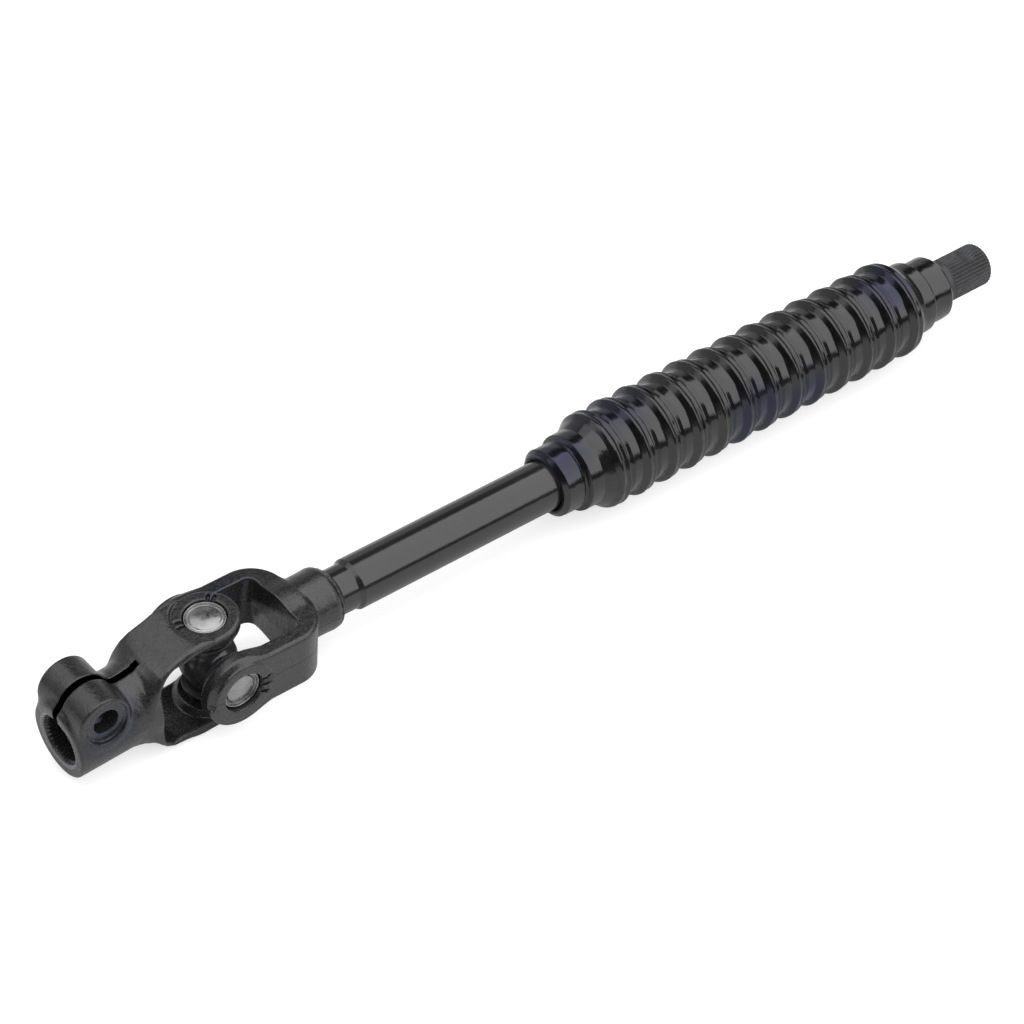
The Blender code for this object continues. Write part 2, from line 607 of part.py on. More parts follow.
def inner_shaft(parent):
    """Sliding shaft: long guide splines inside, a boot seat, and the serrated end with its notch."""
    neck = SLIDE_ROOT * 0.9
    lead = SLIDE_DEPTH
    core = turned_along("inner_shaft", [
        (SHAFT_START, 0), (SHAFT_START, neck - lead * 0.5), (SHAFT_START + lead * 0.5, neck),
        (SLIDE_END, neck), (SLIDE_END + lead, SHANK_DIAMETER / 2),
        (SEAT_START - lead, SHANK_DIAMETER / 2), (SEAT_START, SEAT_RADIUS),
        (SPLINE_START - lead * 0.5, SEAT_RADIUS), (SPLINE_START, SPLINE_ROOT - SEAT_GAP),
        (SHAFT_END - SPLINE_CHAMFER * 0.4, SPLINE_ROOT - SEAT_GAP), (SHAFT_END, 0)],
        STEPS_TUBE, parent, "dark_phosphate")
    ring_front = STOP_RING_X - STOP_RING_THICKNESS - SEAT_GAP
    front = ring_front - STOP_RING_THICKNESS
    guide = toothed_outline(SLIDE_TEETH, SLIDE_ROOT, SLIDE_TIP)
    join(core, prism("guide_splines", guide, 'X', STOP_RING_X + SEAT_GAP, SLIDE_END, parent), 'UNION')
    join(core, prism("guide_nose", guide, 'X', front, ring_front, parent), 'UNION')
    serration = toothed_outline(SPLINE_TEETH, SPLINE_ROOT, SPLINE_TIP)
    join(core, prism("serrations", serration, 'X', SPLINE_START - lead, SHAFT_END, parent), 'UNION')
    rim = SPLINE_TIP + CUT_MARGIN
    chamfer = turned_along("end_chamfer", [
        (SHAFT_END - SPLINE_CHAMFER - CUT_MARGIN, SPLINE_TIP + CUT_MARGIN),
        (SHAFT_END + CUT_MARGIN, SPLINE_TIP - SPLINE_CHAMFER - CUT_MARGIN),
        (SHAFT_END + CUT_MARGIN, rim)], STEPS_TUBE, parent, None)
    join(core, chamfer, 'DIFFERENCE')
    notch_x = SHAFT_END - NOTCH_SETBACK
    notch = circle((notch_x, SPLINE_TIP - NOTCH_DEPTH + NOTCH_RADIUS), NOTCH_RADIUS, STEPS_TUBE)
    join(core, prism("bolt_notch", notch, 'Y', -SPLINE_TIP, SPLINE_TIP, parent), 'DIFFERENCE')
    return core


def stop_ring(parent):
    """Open spring ring behind the shaft's nose that meets the liner at full reach."""
    groove = SLIDE_ROOT * 0.9 + SEAT_GAP
    outer = TUBE_BORE - SEAT_GAP
    half = math.degrees(STOP_RING_OPENING) / 2
    outline = arc((0, 0), outer, half, 360 - half, 25) + arc((0, 0), groove, 360 - half, half, 25)
    return prism("stop_ring", outline, 'X', STOP_RING_X - STOP_RING_THICKNESS, STOP_RING_X, parent,
                 "spring_steel")


def boot_outer_line():
    """Outside of the bellows from cuff to cuff: broad round crests and narrow valleys."""
    cuff = BOOT_CUFF_DIAMETER / 2
    step = BOOT_STEP_DIAMETER / 2
    tail = BOOT_TAIL_DIAMETER / 2
    round_edge = BOOT_WALL * 0.6
    line = [
        (BOOT_CUFF_START, cuff - round_edge), (BOOT_CUFF_START + round_edge, cuff),
        (BOOT_STEP_START - round_edge, cuff), (BOOT_STEP_START, step - round_edge),
        (BOOT_STEP_START + round_edge, step), (BOOT_NECK_START - round_edge, step),
        (BOOT_NECK_START, (step + BOOT_VALLEY) / 2 - round_edge)]
    shape = ((-0.36, 0.42), (-0.18, 0.95), (0.18, 0.95), (0.36, 0.42), (0.5, 0.0))
    last_shape = shape[:2] + ((0.06, 0.88), (0.27, 0.36))
    rise = BOOT_CREST - BOOT_VALLEY
    for fold in range(BOOT_FOLDS):
        middle = BOOT_FIRST_CREST + fold * BOOT_PITCH
        last = fold == BOOT_FOLDS - 1
        for share, height in last_shape if last else shape:
            line.append((middle + share * BOOT_PITCH, BOOT_VALLEY + rise * height))
    shoulder = BOOT_TAIL_STEP_DIAMETER / 2
    line += [(BOOT_TAIL_STEP, shoulder), (BOOT_TAIL_CUFF - round_edge, shoulder),
             (BOOT_TAIL_CUFF, tail), (BOOT_TAIL_END - round_edge * 2, tail),
             (BOOT_TAIL_END, tail - round_edge)]
    return line


def boot_inner_line():
    """Inside of the bellows, back from the tail cuff to the tube cuff."""
    tube_side = TUBE_RADIUS + SEAT_GAP
    shaft_side = SEAT_RADIUS + SEAT_GAP
    rise = BOOT_CREST - BOOT_VALLEY
    line = [(BOOT_TAIL_END, shaft_side), (BOOT_TAIL_STEP, shaft_side)]
    shape = ((0.0, 0.95), (-0.5, 0.0))
    for fold in reversed(range(BOOT_FOLDS)):
        middle = BOOT_FIRST_CREST + fold * BOOT_PITCH
        first = fold == 0
        for share, height in shape[:1] if first else shape:
            radius = BOOT_VALLEY + rise * height - BOOT_WALL
            line.append((middle + share * BOOT_PITCH, radius))
    line += [(BOOT_NECK_START - BOOT_WALL, tube_side), (BOOT_CUFF_START, tube_side)]
    return line


def bellows(parent):
    """One moulded rubber boot over the sliding joint."""
    return turned_along("bellows_boot", boot_outer_line() + boot_inner_line(), STEPS_BOOT, parent,
                        "black_rubber")


def world_box():
    """Lowest and highest corners of every piece that is not a guide."""
    graph = bpy.context.evaluated_depsgraph_get()
    corners = []
    for item in bpy.data.objects:
        if item.type != 'MESH' or item.hide_render:
            continue
        shown = item.evaluated_get(graph)
        mesh = shown.to_mesh()
        points = np.empty(len(mesh.vertices) * 3)
        mesh.vertices.foreach_get("co", points)
        turn = np.array(shown.matrix_world)
        points = points.reshape(-1, 3) @ turn[:3, :3].T + turn[:3, 3]
        corners += [points.min(axis=0), points.max(axis=0)]
        shown.to_mesh_clear()
    return np.min(corners, axis=0), np.max(corners, axis=0)


def set_down(frame):
    """Move the whole shaft so that the middle of its underside is at the origin."""
    bpy.context.view_layer.update()
    low, high = world_box()
    frame.location = (-(low[0] + high[0]) / 2, -(low[1] + high[1]) / 2, -low[2])
    bpy.context.view_layer.update()


def build():
    """Make every piece under the part of the shaft that carries it."""
    clear_scene()
    frame = pivot("joint_centre")
    cross_pivot = pivot("cross_pivot", frame, turn=(0, -DROOP, 0))
    clamp_pivot = pivot("clamp_pivot", cross_pivot)
    slide = pivot("slide", frame)

    tube_yoke(frame)
    outer_tube(frame)
    weld_bead(frame)
    spline_liner(frame)
    bellows(frame)
    for side in ("near", "far"):
        bearing_cup(side, frame)

    joint_cross(cross_pivot)
    for side in JOURNALS:
        thrust_pad(side, cross_pivot)
        journal_seal(side, cross_pivot)

    clamp_yoke(clamp_pivot)
    for side in ("top", "bottom"):
        bearing_cup(side, clamp_pivot)

    inner_shaft(slide)
    stop_ring(slide)
    set_down(frame)


build()
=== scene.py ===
"""Builds the visible pieces of an intermediate steering shaft over its solid frame.

Shapes are worked out in millimetres from the centre of the cross joint, with X along the shaft towards
its splined end and Z up. They go into the meshes in metres, in the frame of the solids.
"""

import json
import math

import bpy
import numpy as np
from mathutils import Matrix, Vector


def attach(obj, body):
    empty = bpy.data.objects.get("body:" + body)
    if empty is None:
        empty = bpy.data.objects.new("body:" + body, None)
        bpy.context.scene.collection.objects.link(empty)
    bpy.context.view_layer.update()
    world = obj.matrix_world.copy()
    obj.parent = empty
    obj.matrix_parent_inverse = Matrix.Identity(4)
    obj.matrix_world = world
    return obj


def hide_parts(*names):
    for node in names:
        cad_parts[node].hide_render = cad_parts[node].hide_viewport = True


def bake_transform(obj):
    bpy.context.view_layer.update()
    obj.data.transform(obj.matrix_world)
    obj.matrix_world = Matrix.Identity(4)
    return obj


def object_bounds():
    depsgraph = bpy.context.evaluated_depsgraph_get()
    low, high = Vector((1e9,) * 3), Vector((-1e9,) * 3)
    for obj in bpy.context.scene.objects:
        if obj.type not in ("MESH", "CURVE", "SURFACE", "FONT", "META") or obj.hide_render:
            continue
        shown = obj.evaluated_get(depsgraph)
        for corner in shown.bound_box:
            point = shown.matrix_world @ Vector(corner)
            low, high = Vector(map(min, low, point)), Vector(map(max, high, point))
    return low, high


bl_info = {
    "name": "Steering Shaft Builder",
    "version": (1, 0, 0),
    "blender": (4, 5, 0),
    "location": "View3D > Sidebar > Steering Shaft",
    "description": "Builds the yokes, bearings, tube, bellows and splined end of an intermediate steering shaft",
    "category": "Add Mesh",
}

MM = 1000.0
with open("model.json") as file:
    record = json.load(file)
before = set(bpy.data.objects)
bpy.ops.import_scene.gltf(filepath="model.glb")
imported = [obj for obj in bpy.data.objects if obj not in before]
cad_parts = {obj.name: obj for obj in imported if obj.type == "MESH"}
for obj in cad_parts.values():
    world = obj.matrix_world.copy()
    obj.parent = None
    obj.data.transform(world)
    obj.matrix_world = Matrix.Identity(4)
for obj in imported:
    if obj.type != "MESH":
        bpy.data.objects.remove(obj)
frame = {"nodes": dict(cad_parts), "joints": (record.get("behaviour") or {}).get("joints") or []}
SOLID_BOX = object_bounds()
JOINTS = {joint["name"]: joint for joint in frame["joints"]}
CENTRE = np.array(JOINTS["cross_hinge"]["pos_m"]) * MM
DROOP_SIN, DROOP_COS = JOINTS["clamp_hinge"]["axis"][0], JOINTS["clamp_hinge"]["axis"][2]
LEVEL = np.eye(3)
DROOPED = np.array([[DROOP_COS, 0, DROOP_SIN], [0, 1, 0], [-DROOP_SIN, 0, DROOP_COS]])


# Shapes


def rounded_outline(corners, radii, step=2.0):
    """A polyline through the corners, each turned by an arc of its radius.

    The arc's centre lies on the corner's bisector at radius / sin(half the corner's angle), and its ends
    at radius / tan of it along the two sides. A point just outside each arc keeps the shading of the flat
    beside it, and long sides are cut to the step.
    """
    corners = np.array(corners, float)
    points = [corners[0]]
    for before, here, after, radius in zip(corners, corners[1:-1], corners[2:], radii):
        to_before, to_after = before - here, after - here
        room = 0.48 * min(np.linalg.norm(to_before), np.linalg.norm(to_after))
        to_before, to_after = to_before / np.linalg.norm(to_before), to_after / np.linalg.norm(to_after)
        half = 0.5 * math.acos(np.clip(to_before @ to_after, -1, 1))
        reach = radius / math.tan(half)
        if reach > room:
            radius, reach = radius * room / reach, room
        bisector = (to_before + to_after) / np.linalg.norm(to_before + to_after)
        middle = here + bisector * radius / math.sin(half)
        start, stop = here + to_before * reach - middle, here + to_after * reach - middle
        turn = math.atan2(start[0] * stop[1] - start[1] * stop[0], start @ stop)
        count = max(3, int(abs(turn) / math.radians(11)))
        angles = math.atan2(start[1], start[0]) + turn * np.linspace(0, 1, count + 1)
        lead = min(0.12 * radius, 0.4 * (room - reach + 1e-6) + 0.02)
        points.append(here + to_before * (reach + lead))
        points.extend(middle + radius * np.stack([np.cos(angles), np.sin(angles)], 1))
        points.append(here + to_after * (reach + lead))
    points.append(corners[-1])
    line = [points[0]]
    for point in points[1:]:
        gap = np.linalg.norm(point - line[-1])
        if gap < 1e-4:
            continue
        pieces = max(1, int(gap / step))
        start = line[-1]
        line.extend(start + (point - start) * share for share in np.linspace(0, 1, pieces + 1)[1:])
    return np.array(line)


def grid_faces(rows, columns, rows_close, columns_close):
    """Four-cornered faces of a grid of rows x columns points, numbered row by row.

    A closed direction joins its last line to its first.
    """
    row, column = np.indices((rows if rows_close else rows - 1, columns if columns_close else columns - 1))
    next_row, next_column = (row + 1) % rows, (column + 1) % columns
    corners = [row * columns + column, next_row * columns + column,
               next_row * columns + next_column, row * columns + next_column]
    return np.stack(corners, -1).reshape(-1, 4)


def turned(profile, around, axis="x", shape=None):
    """A solid of revolution: point (s, r) of the profile goes to s along the axis, r (cos t, sin t) across it.

    The profile is a closed loop, or starts and ends at r = 0, where one point closes the pole. A shape
    gives the radius for (s, r, t) in place of r.
    """
    profile = np.array(profile, float)
    poles = profile[0, 1] < 1e-6 and profile[-1, 1] < 1e-6
    inner = profile[1:-1] if poles else profile
    t = np.linspace(0, 2 * np.pi, around, endpoint=False)[None, :]
    s = np.broadcast_to(inner[:, :1], (len(inner), around))
    r = np.broadcast_to(inner[:, 1:], s.shape)
    if shape is not None:
        r = shape(s, r, t)
    points = np.stack([s, r * np.cos(t), r * np.sin(t)], -1).reshape(-1, 3)
    faces = [grid_faces(len(inner), around, not poles, True)[:, ::-1]]
    if poles:
        first, last = len(points), len(points) + 1
        points = np.concatenate([points, [[profile[0, 0], 0, 0], [profile[-1, 0], 0, 0]]])
        here = np.arange(around)
        there = (here + 1) % around
        end = (len(inner) - 1) * around
        faces.append(np.stack([np.full(around, first), there, here], 1))
        faces.append(np.stack([np.full(around, last), end + here, end + there], 1))
    order = {"x": (0, 1, 2), "y": (2, 0, 1)}[axis]
    return points[:, order], faces


def four_ways(points, faces):
    """A piece that points along +Y, put on each arm of the cross: its name, points, faces and turn."""
    upright, mirrored = points[:, [0, 2, 1]], [f[:, ::-1] for f in faces]
    return (("near", points * [1, -1, 1], mirrored, LEVEL), ("far", points, faces, LEVEL),
            ("top", upright, mirrored, DROOPED), ("bottom", upright * [1, 1, -1], faces, DROOPED))


def skin(field, low, high, step):
    """The zero surface of a field that is negative inside the metal.

    The field is worked out on a grid. Each cell that the surface passes through gets one point, the mean
    of where its edges cross zero, and each crossed edge gets a face between its four cells. The points
    then move twice by -field * slope / |slope|^2 onto the surface.
    """
    axes = [np.arange(a, b + step, step) for a, b in zip(low, high)]
    value = field(*np.meshgrid(*axes, indexing="ij"))
    cells = tuple(n - 1 for n in value.shape)
    total, count, crossings = np.zeros(cells + (3,)), np.zeros(cells), []
    for axis in range(3):
        a, b = np.delete(value, -1, axis), np.delete(value, 0, axis)
        crossed = (a < 0) != (b < 0)
        share = np.where(crossed, a / np.where(crossed, a - b, 1.0), 0.0)
        place = np.stack(np.indices(crossed.shape), -1).astype(float)
        place[..., axis] += share
        place *= crossed[..., None]
        u, v = (axis + 1) % 3, (axis + 2) % 3
        for du, dv in ((0, 0), (0, 1), (1, 0), (1, 1)):
            part = [slice(None)] * 3
            part[u], part[v] = slice(du, du + cells[u]), slice(dv, dv + cells[v])
            total += place[tuple(part)]
            count += crossed[tuple(part)]
        crossings.append((u, v, crossed, a < 0))
    used = count > 0
    number = np.full(cells, -1)
    number[used] = np.arange(used.sum())
    points = total[used] / count[used][:, None] * step + np.array(low)
    faces = []
    for u, v, crossed, leaving in crossings:
        where = np.argwhere(crossed)
        inner = (where[:, u] > 0) & (where[:, v] > 0) & (where[:, u] < cells[u]) & (where[:, v] < cells[v])
        where = where[inner]
        quad = []
        for du, dv in ((-1, -1), (0, -1), (0, 0), (-1, 0)):
            cell = where.copy()
            cell[:, u] += du
            cell[:, v] += dv
            quad.append(number[tuple(cell.T)])
        quad = np.stack(quad, 1)
        out = leaving[tuple(where.T)]
        faces.append(np.where(out[:, None], quad, quad[:, ::-1]))
    for _ in range(2):
        x, y, z = points.T
        here, h = field(x, y, z), 0.02
        slope = np.stack([field(x + h, y, z) - field(x - h, y, z), field(x, y + h, z) - field(x, y - h, z),
                          field(x, y, z + h) - field(x, y, z - h)], 1) / (2 * h)
        move = (here / np.maximum((slope ** 2).sum(1), 0.25))[:, None] * slope
        points = points - np.clip(move, -0.35 * step, 0.35 * step)
    return points, [np.concatenate(faces)]


def round_cut(a, b, radius):
    """Common part of two fields, its edge an arc of the radius."""
    return np.minimum(np.maximum(a, b), -radius) + np.hypot(np.maximum(a + radius, 0), np.maximum(b + radius, 0))


def round_join(a, b, radius):
    """Both fields together, the crease between them an arc of the radius."""
    return np.maximum(np.minimum(a, b), radius) - np.hypot(np.maximum(radius - a, 0), np.maximum(radius - b, 0))


def table(value, pairs):
    """Straight lines between the pairs (value, result)."""
    return np.interp(value, *zip(*pairs))


def stake_marks(x, y, rise, angles, middle, half):
    """Short radial dents pressed into an ear's face round its bearing.

    Each is a capsule of radius 0.8 about its middle, stretched to 1 / 0.45 of that along the rise.
    """
    marks = np.full(np.shape(x), 9.0)
    for angle in angles:
        c, s = math.cos(math.radians(angle)), math.sin(math.radians(angle))
        out, side = x * c + y * s, y * c - x * s
        short = np.maximum(np.abs(out - middle) - half, 0)
        marks = np.minimum(marks, np.sqrt(short ** 2 + side ** 2 + (0.45 * rise) ** 2) - 0.8)
    return marks


def add_mesh(name, points, faces, material, turn=LEVEL, keep_flat=False):
    """A mesh object from whole arrays: points in millimetres from the joint, turned, placed and given in metres."""
    placed = (np.asarray(points) @ turn.T + CENTRE) / MM
    mesh = bpy.data.meshes.new(name)
    mesh.vertices.add(len(placed))
    mesh.vertices.foreach_set("co", placed.astype(np.float32).ravel())
    sizes = np.concatenate([np.full(len(f), f.shape[1]) for f in faces])
    corners = np.concatenate([f.ravel() for f in faces])
    mesh.loops.add(len(corners))
    mesh.loops.foreach_set("vertex_index", corners.astype(np.int32))
    mesh.polygons.add(len(sizes))
    mesh.polygons.foreach_set("loop_start", np.concatenate([[0], np.cumsum(sizes)[:-1]]).astype(np.int32))
    mesh.polygons.foreach_set("use_smooth", np.full(len(sizes), not keep_flat))
    mesh.update(calc_edges=True)
    if mesh.validate():
        raise RuntimeError(f"{name}: the worked-out faces were not a clean mesh")
    piece = bpy.data.objects.new(name, mesh)
    bpy.context.scene.collection.objects.link(piece)
    mesh.materials.append(material)
    return piece


def stand_for(piece, body, slot, *nodes):
    """The piece rides on the body and is shown in place of the solids. The slot is not used."""
    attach(piece, body)
    if nodes:
        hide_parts(*nodes)


# Finishes


def add_node(tree, kind, inputs=None, **settings):
    """A node of the tree, each of its inputs joined to a socket or set to a value."""
    node = tree.nodes.new(kind)
    for key, value in settings.items():
        setattr(node, key, value)
    for key, value in (inputs or {}).items():
        if isinstance(value, bpy.types.NodeSocket):
            tree.links.new(value, node.inputs[key])
        else:
            node.inputs[key].default_value = value
    return node


class Nodes:
    """A material's node tree, with short ways to add and join its nodes."""

    def __init__(self, name):
        self.material = bpy.data.materials.new(name)
        self.material.use_nodes = True
        self.tree = self.material.node_tree
        self.shader = self.tree.nodes["Principled BSDF"]
        self.place = self.add("ShaderNodeTexCoord").outputs["Object"]

    def add(self, kind, inputs=None, **settings):
        return add_node(self.tree, kind, inputs, **settings)

    def noise(self, scale, detail=3.0, roughness=0.55, stretch=None):
        """Noise of the given number of lumps to a metre, longer along the axes whose stretch is small."""
        place = self.place
        if stretch:
            place = self.add("ShaderNodeMapping", {"Vector": place, "Scale": stretch}).outputs[0]
        inputs = {"Vector": place, "Scale": scale, "Detail": detail, "Roughness": roughness}
        return self.add("ShaderNodeTexNoise", inputs).outputs["Fac"]

    def ramp(self, factor, low, high, dark, light):
        """A value or colour that goes from dark to light as the factor goes from low to high."""
        node = self.add("ShaderNodeValToRGB", {"Fac": factor})
        node.color_ramp.elements[0].position, node.color_ramp.elements[1].position = low, high
        for element, shade in zip(node.color_ramp.elements, (dark, light)):
            element.color = (*shade, 1) if isinstance(shade, tuple) else (shade, shade, shade, 1)
        return node.outputs["Color"]

    def speckle(self, factor, low, high, colour, dark, light):
        """The colour times a share that goes from dark to light as the factor goes from low to high."""
        return self.ramp(factor, low, high, tuple(c * dark for c in colour), tuple(c * light for c in colour))

    def maths(self, operation, first, second=0.0, third=0.0):
        return self.add("ShaderNodeMath", {0: first, 1: second, 2: third}, operation=operation).outputs[0]

    def times(self, *shares):
        """All the shares multiplied together."""
        total = shares[0]
        for share in shares[1:]:
            total = self.maths("MULTIPLY", total, share)
        return total

    def vector(self, operation, *inputs, output="Vector"):
        return self.add("ShaderNodeVectorMath", dict(enumerate(inputs)), operation=operation).outputs[output]

    def below(self, value, edge, soft):
        """1 where the value is below the edge, 0 where it is above the edge + soft, and smooth between."""
        inputs = {"Value": value, "From Min": edge + soft, "From Max": edge}
        return self.add("ShaderNodeMapRange", inputs, interpolation_type="SMOOTHSTEP").outputs[0]

    def around(self, value, middle, half, soft):
        """1 where the value is within half of the middle, fading to 0 over the soft width outside."""
        return self.below(self.maths("ABSOLUTE", self.maths("SUBTRACT", value, middle)), half, soft)

    def from_joint(self):
        """The place in metres from the joint's centre, as a vector and as its x, y and z."""
        apart = self.vector("SUBTRACT", self.place, tuple(CENTRE / MM))
        return apart, *self.add("ShaderNodeSeparateXYZ", {"Vector": apart}).outputs

    def bump(self, height, distance, strength=1.0, normal=None):
        inputs = {"Height": height, "Distance": distance, "Strength": strength}
        if normal is not None:
            inputs["Normal"] = normal
        return self.add("ShaderNodeBump", inputs).outputs["Normal"]

    def finish(self, **inputs):
        for key, value in inputs.items():
            key = key.replace("_", " ")
            if isinstance(value, bpy.types.NodeSocket):
                self.tree.links.new(value, self.shader.inputs[key])
            elif key == "Base Color":
                self.shader.inputs[key].default_value = (*value, 1)
            else:
                self.shader.inputs[key].default_value = value
        return self.material

    def show(self, surface):
        """The surface's node in place of the usual shader."""
        self.tree.links.new(surface.outputs[0], self.tree.nodes["Material Output"].inputs["Surface"])
        return self.material


def blue_glint(n, blue, places):
    """Painted tint of reflections: white, and bluish near each place (x, y, z, reach), its edge broken up by noise.
    """
    total = 0.0
    waver = n.maths("MULTIPLY", n.noise(60, 3, 0.6), 0.012)
    for x, y, z, reach in places:
        spot = tuple((CENTRE + [x, y, z]) / MM)
        apart = n.vector("DISTANCE", n.place, spot, output="Value")
        half = 0.5 * reach / MM
        total = n.maths("MAXIMUM", n.below(n.maths("ADD", apart, waver), half, half), total)
    return n.ramp(total, 0.0, 1.0, (1.0, 1.0, 1.0), (1.0 - 0.42 * blue, 1.0 - 0.38 * blue, 1.0))


def slit_shade_and_lip_highlight(n):
    """Masks of painted shade on the clamp yoke's slit walls, darkened and without reflection, and of a painted
    highlight along the lip of its bore, and how much the highlight adds.

    The slit is |y| < 1.42 mm before x = -32.5 mm. The lip is within 0.5 mm of R 11.3 at the hub's face.
    """
    apart, x, y, z = n.from_joint()
    # Painted shade: the slit walls above z = 6 mm are darkened and lose their reflection.
    slit = n.times(n.around(y, 0.0, 0.00142, 0.00015), n.below(x, -0.0325, 0.001), n.maths("GREATER_THAN", z, 0.006))
    along = n.vector("DOT_PRODUCT", apart, tuple(DROOPED[:, 0]), output="Value")
    length = n.vector("LENGTH", apart, output="Value")
    across = n.maths("SQRT", n.maths("SUBTRACT", n.times(length, length), n.times(along, along)))
    # Painted highlight: a thin pale line along the bore's lip at the hub's face, adding 0.14.
    return slit, n.times(n.around(across, 0.0113, 0.0005, 0.0003), n.below(along, -0.0675, 0.0004)), 0.14


def web_floor_reflection(n):
    """Nothing dull, the mask of a painted reflection of the floor on the web's face, in streaks and on its lower
    side only, and how much it adds.
    """
    _, x, y, z = n.from_joint()
    # Painted reflection: the floor's reflection is painted only on the web's lower side.
    low_side = n.below(n.maths("MULTIPLY_ADD", y, 0.35, z), 0.005, 0.003)
    face = n.times(n.around(x, 0.0317, 0.0010, 0.0006), n.around(y, 0.0, 0.0135, 0.001), low_side)
    return None, n.times(face, n.ramp(n.noise(260, 3, 0.6, (4, 4, 0.4)), 0.35, 0.65, 0.45, 1.0)), 0.13


def forged_paint(name, settings, places, painted_light_masks, flash=False):
    """Black paint over a forging: speckle, soft dents, glossy and dull spots, and a flash line.

    In places it has painted shade, painted highlights and a painted bluish tint on its reflections.
    """
    n = Nodes(name)
    colour = n.speckle(n.noise(900, 3, 0.6), 0.3, 0.7, settings.paint, 0.6, 1.9)
    # Painted light: the first mask, where given, darkens places and takes away their reflection as painted shade; the
    # second lightens places as painted highlight.
    dull, highlight_mask, pale = painted_light_masks(n)
    colour = n.vector("MULTIPLY_ADD", highlight_mask, (pale, pale, pale), colour)
    shine = 0.5
    if dull is not None:
        kept = n.maths("SUBTRACT", 1.0, dull)
        shine = n.maths("MULTIPLY", kept, 0.5)
        colour = n.vector("MULTIPLY", colour, kept)
    gloss = n.ramp(n.noise(700, 3, 0.6), 0.3, 0.75, settings.gloss * 0.7, settings.gloss * 1.4)
    normal = n.bump(n.noise(330, 4, 0.65), settings.grain * 0.8, 0.6)
    normal = n.bump(n.noise(1300, 2, 0.6), settings.grain * 0.3, 0.7, normal)
    if flash:
        normal = n.bump(n.around(n.from_joint()[3], 0.0, 0.0, 0.0005), 0.00022, 0.8, normal)
    # Painted reflection: the reflections turn bluish near the places.
    return n.finish(Base_Color=colour, Specular_Tint=blue_glint(n, settings.blue, places),
                    Specular_IOR_Level=shine, Roughness=gloss, Normal=normal, IOR=1.6)


def smooth_paint(name, settings):
    """Black paint over drawn tube: glossy, with a slight orange peel and faint lengthwise marks."""
    n = Nodes(name)
    colour = n.speckle(n.noise(22, 2), 0.4, 0.65, settings.paint, 1.0, 1.3)
    drawn = n.noise(90, 3, 0.6, (0.05, 8, 8))
    gloss = n.ramp(drawn, 0.3, 0.7, settings.gloss * 0.5, settings.gloss * 0.75)
    normal = n.bump(drawn, 0.00008, 0.4, n.bump(n.noise(500, 2, 0.5), 0.00006, 0.5))
    return n.finish(Base_Color=colour, Roughness=gloss, Normal=normal, IOR=1.6)


def weld_paint(name, settings):
    """Black paint over a weld bead: lumps of spatter and dull pits."""
    n = Nodes(name)
    colour = n.speckle(n.noise(300, 3), 0.35, 0.7, settings.paint, 1.0, 2.0)
    normal = n.bump(n.noise(600, 4, 0.65), 0.0004, 0.7)
    gloss = n.ramp(n.noise(700, 3), 0.3, 0.7, settings.gloss * 0.7, settings.gloss * 1.5)
    return n.finish(Base_Color=colour, Roughness=gloss, Normal=normal, IOR=1.6)


def moulded_rubber(name, colour, gloss, blue=0.0, places=()):
    """Black rubber from a polished mould: glossy, with a painted bluish tint on its reflections in places, and fine
    flow marks.
    """
    n = Nodes(name)
    shade = n.speckle(n.noise(300, 3), 0.3, 0.7, colour, 0.7, 1.4)
    sheen = n.ramp(n.noise(160, 3, 0.6), 0.3, 0.75, gloss * 0.75, gloss * 1.3)
    normal = n.bump(n.noise(700, 2, 0.5), 0.00006, 0.5, n.bump(n.noise(150, 3), 0.00022, 0.5))
    if places:
        # Painted reflection: the rubber's reflections turn bluish near the places.
        n.finish(Specular_Tint=blue_glint(n, blue, places))
    return n.finish(Base_Color=shade, Roughness=sheen, Normal=normal, IOR=1.6)


def machined_steel(name, colour, roughness, mark):
    """Bright turned steel: fine scratches both ways, with slightly darker smudges."""
    n = Nodes(name)
    smudge = n.speckle(n.noise(300, 3), 0.3, 0.75, colour, 0.72, 1.0)
    rough = n.ramp(n.noise(500, 3), 0.3, 0.7, roughness * 0.75, roughness * 1.4)
    normal = n.bump(n.noise(900, 3, 0.6, (1, 1, 6)), mark, 0.5)
    return n.finish(Base_Color=smudge, Roughness=rough, Normal=normal, Metallic=1.0)


def phosphate_steel(name, colour, roughness):
    """Dark phosphate-coated steel: an even satin grey with a fine crystal grain and a few rubbed spots."""
    n = Nodes(name)
    shade = n.speckle(n.noise(350, 4, 0.6), 0.3, 0.75, colour, 0.75, 1.25)
    rough = n.ramp(n.noise(600, 3), 0.3, 0.7, roughness * 0.85, roughness * 1.15)
    normal = n.bump(n.noise(2200, 2, 0.6), 0.00006, 0.5)
    return n.finish(Base_Color=shade, Roughness=rough, Normal=normal, Metallic=0.55)


def plain_nylon(name, colour):
    """Natural nylon: slightly uneven, dull and a little grained."""
    n = Nodes(name)
    shade = n.speckle(n.noise(120, 3), 0.3, 0.7, colour, 0.9, 1.0)
    return n.finish(Base_Color=shade, Roughness=n.ramp(n.noise(400, 2), 0.3, 0.7, 0.42, 0.56),
                    Normal=n.bump(n.noise(1200, 2), 0.00004, 0.4), IOR=1.53)


# Settings


def sized(name, text, value):
    """A length setting in millimetres."""
    text += ", in millimetres"
    return bpy.props.FloatProperty(name=name, description=text, default=value, min=0.0, unit="NONE")


def factor(name, text, value, high=1.0):
    """A setting without a unit, from 0 to the highest value."""
    return bpy.props.FloatProperty(name=name, description=text, default=value, min=0.0, max=high, subtype="FACTOR")


def whole(name, text, value):
    """A number of like features."""
    return bpy.props.IntProperty(name=name, description=text, default=value, min=3, max=72, subtype="UNSIGNED")


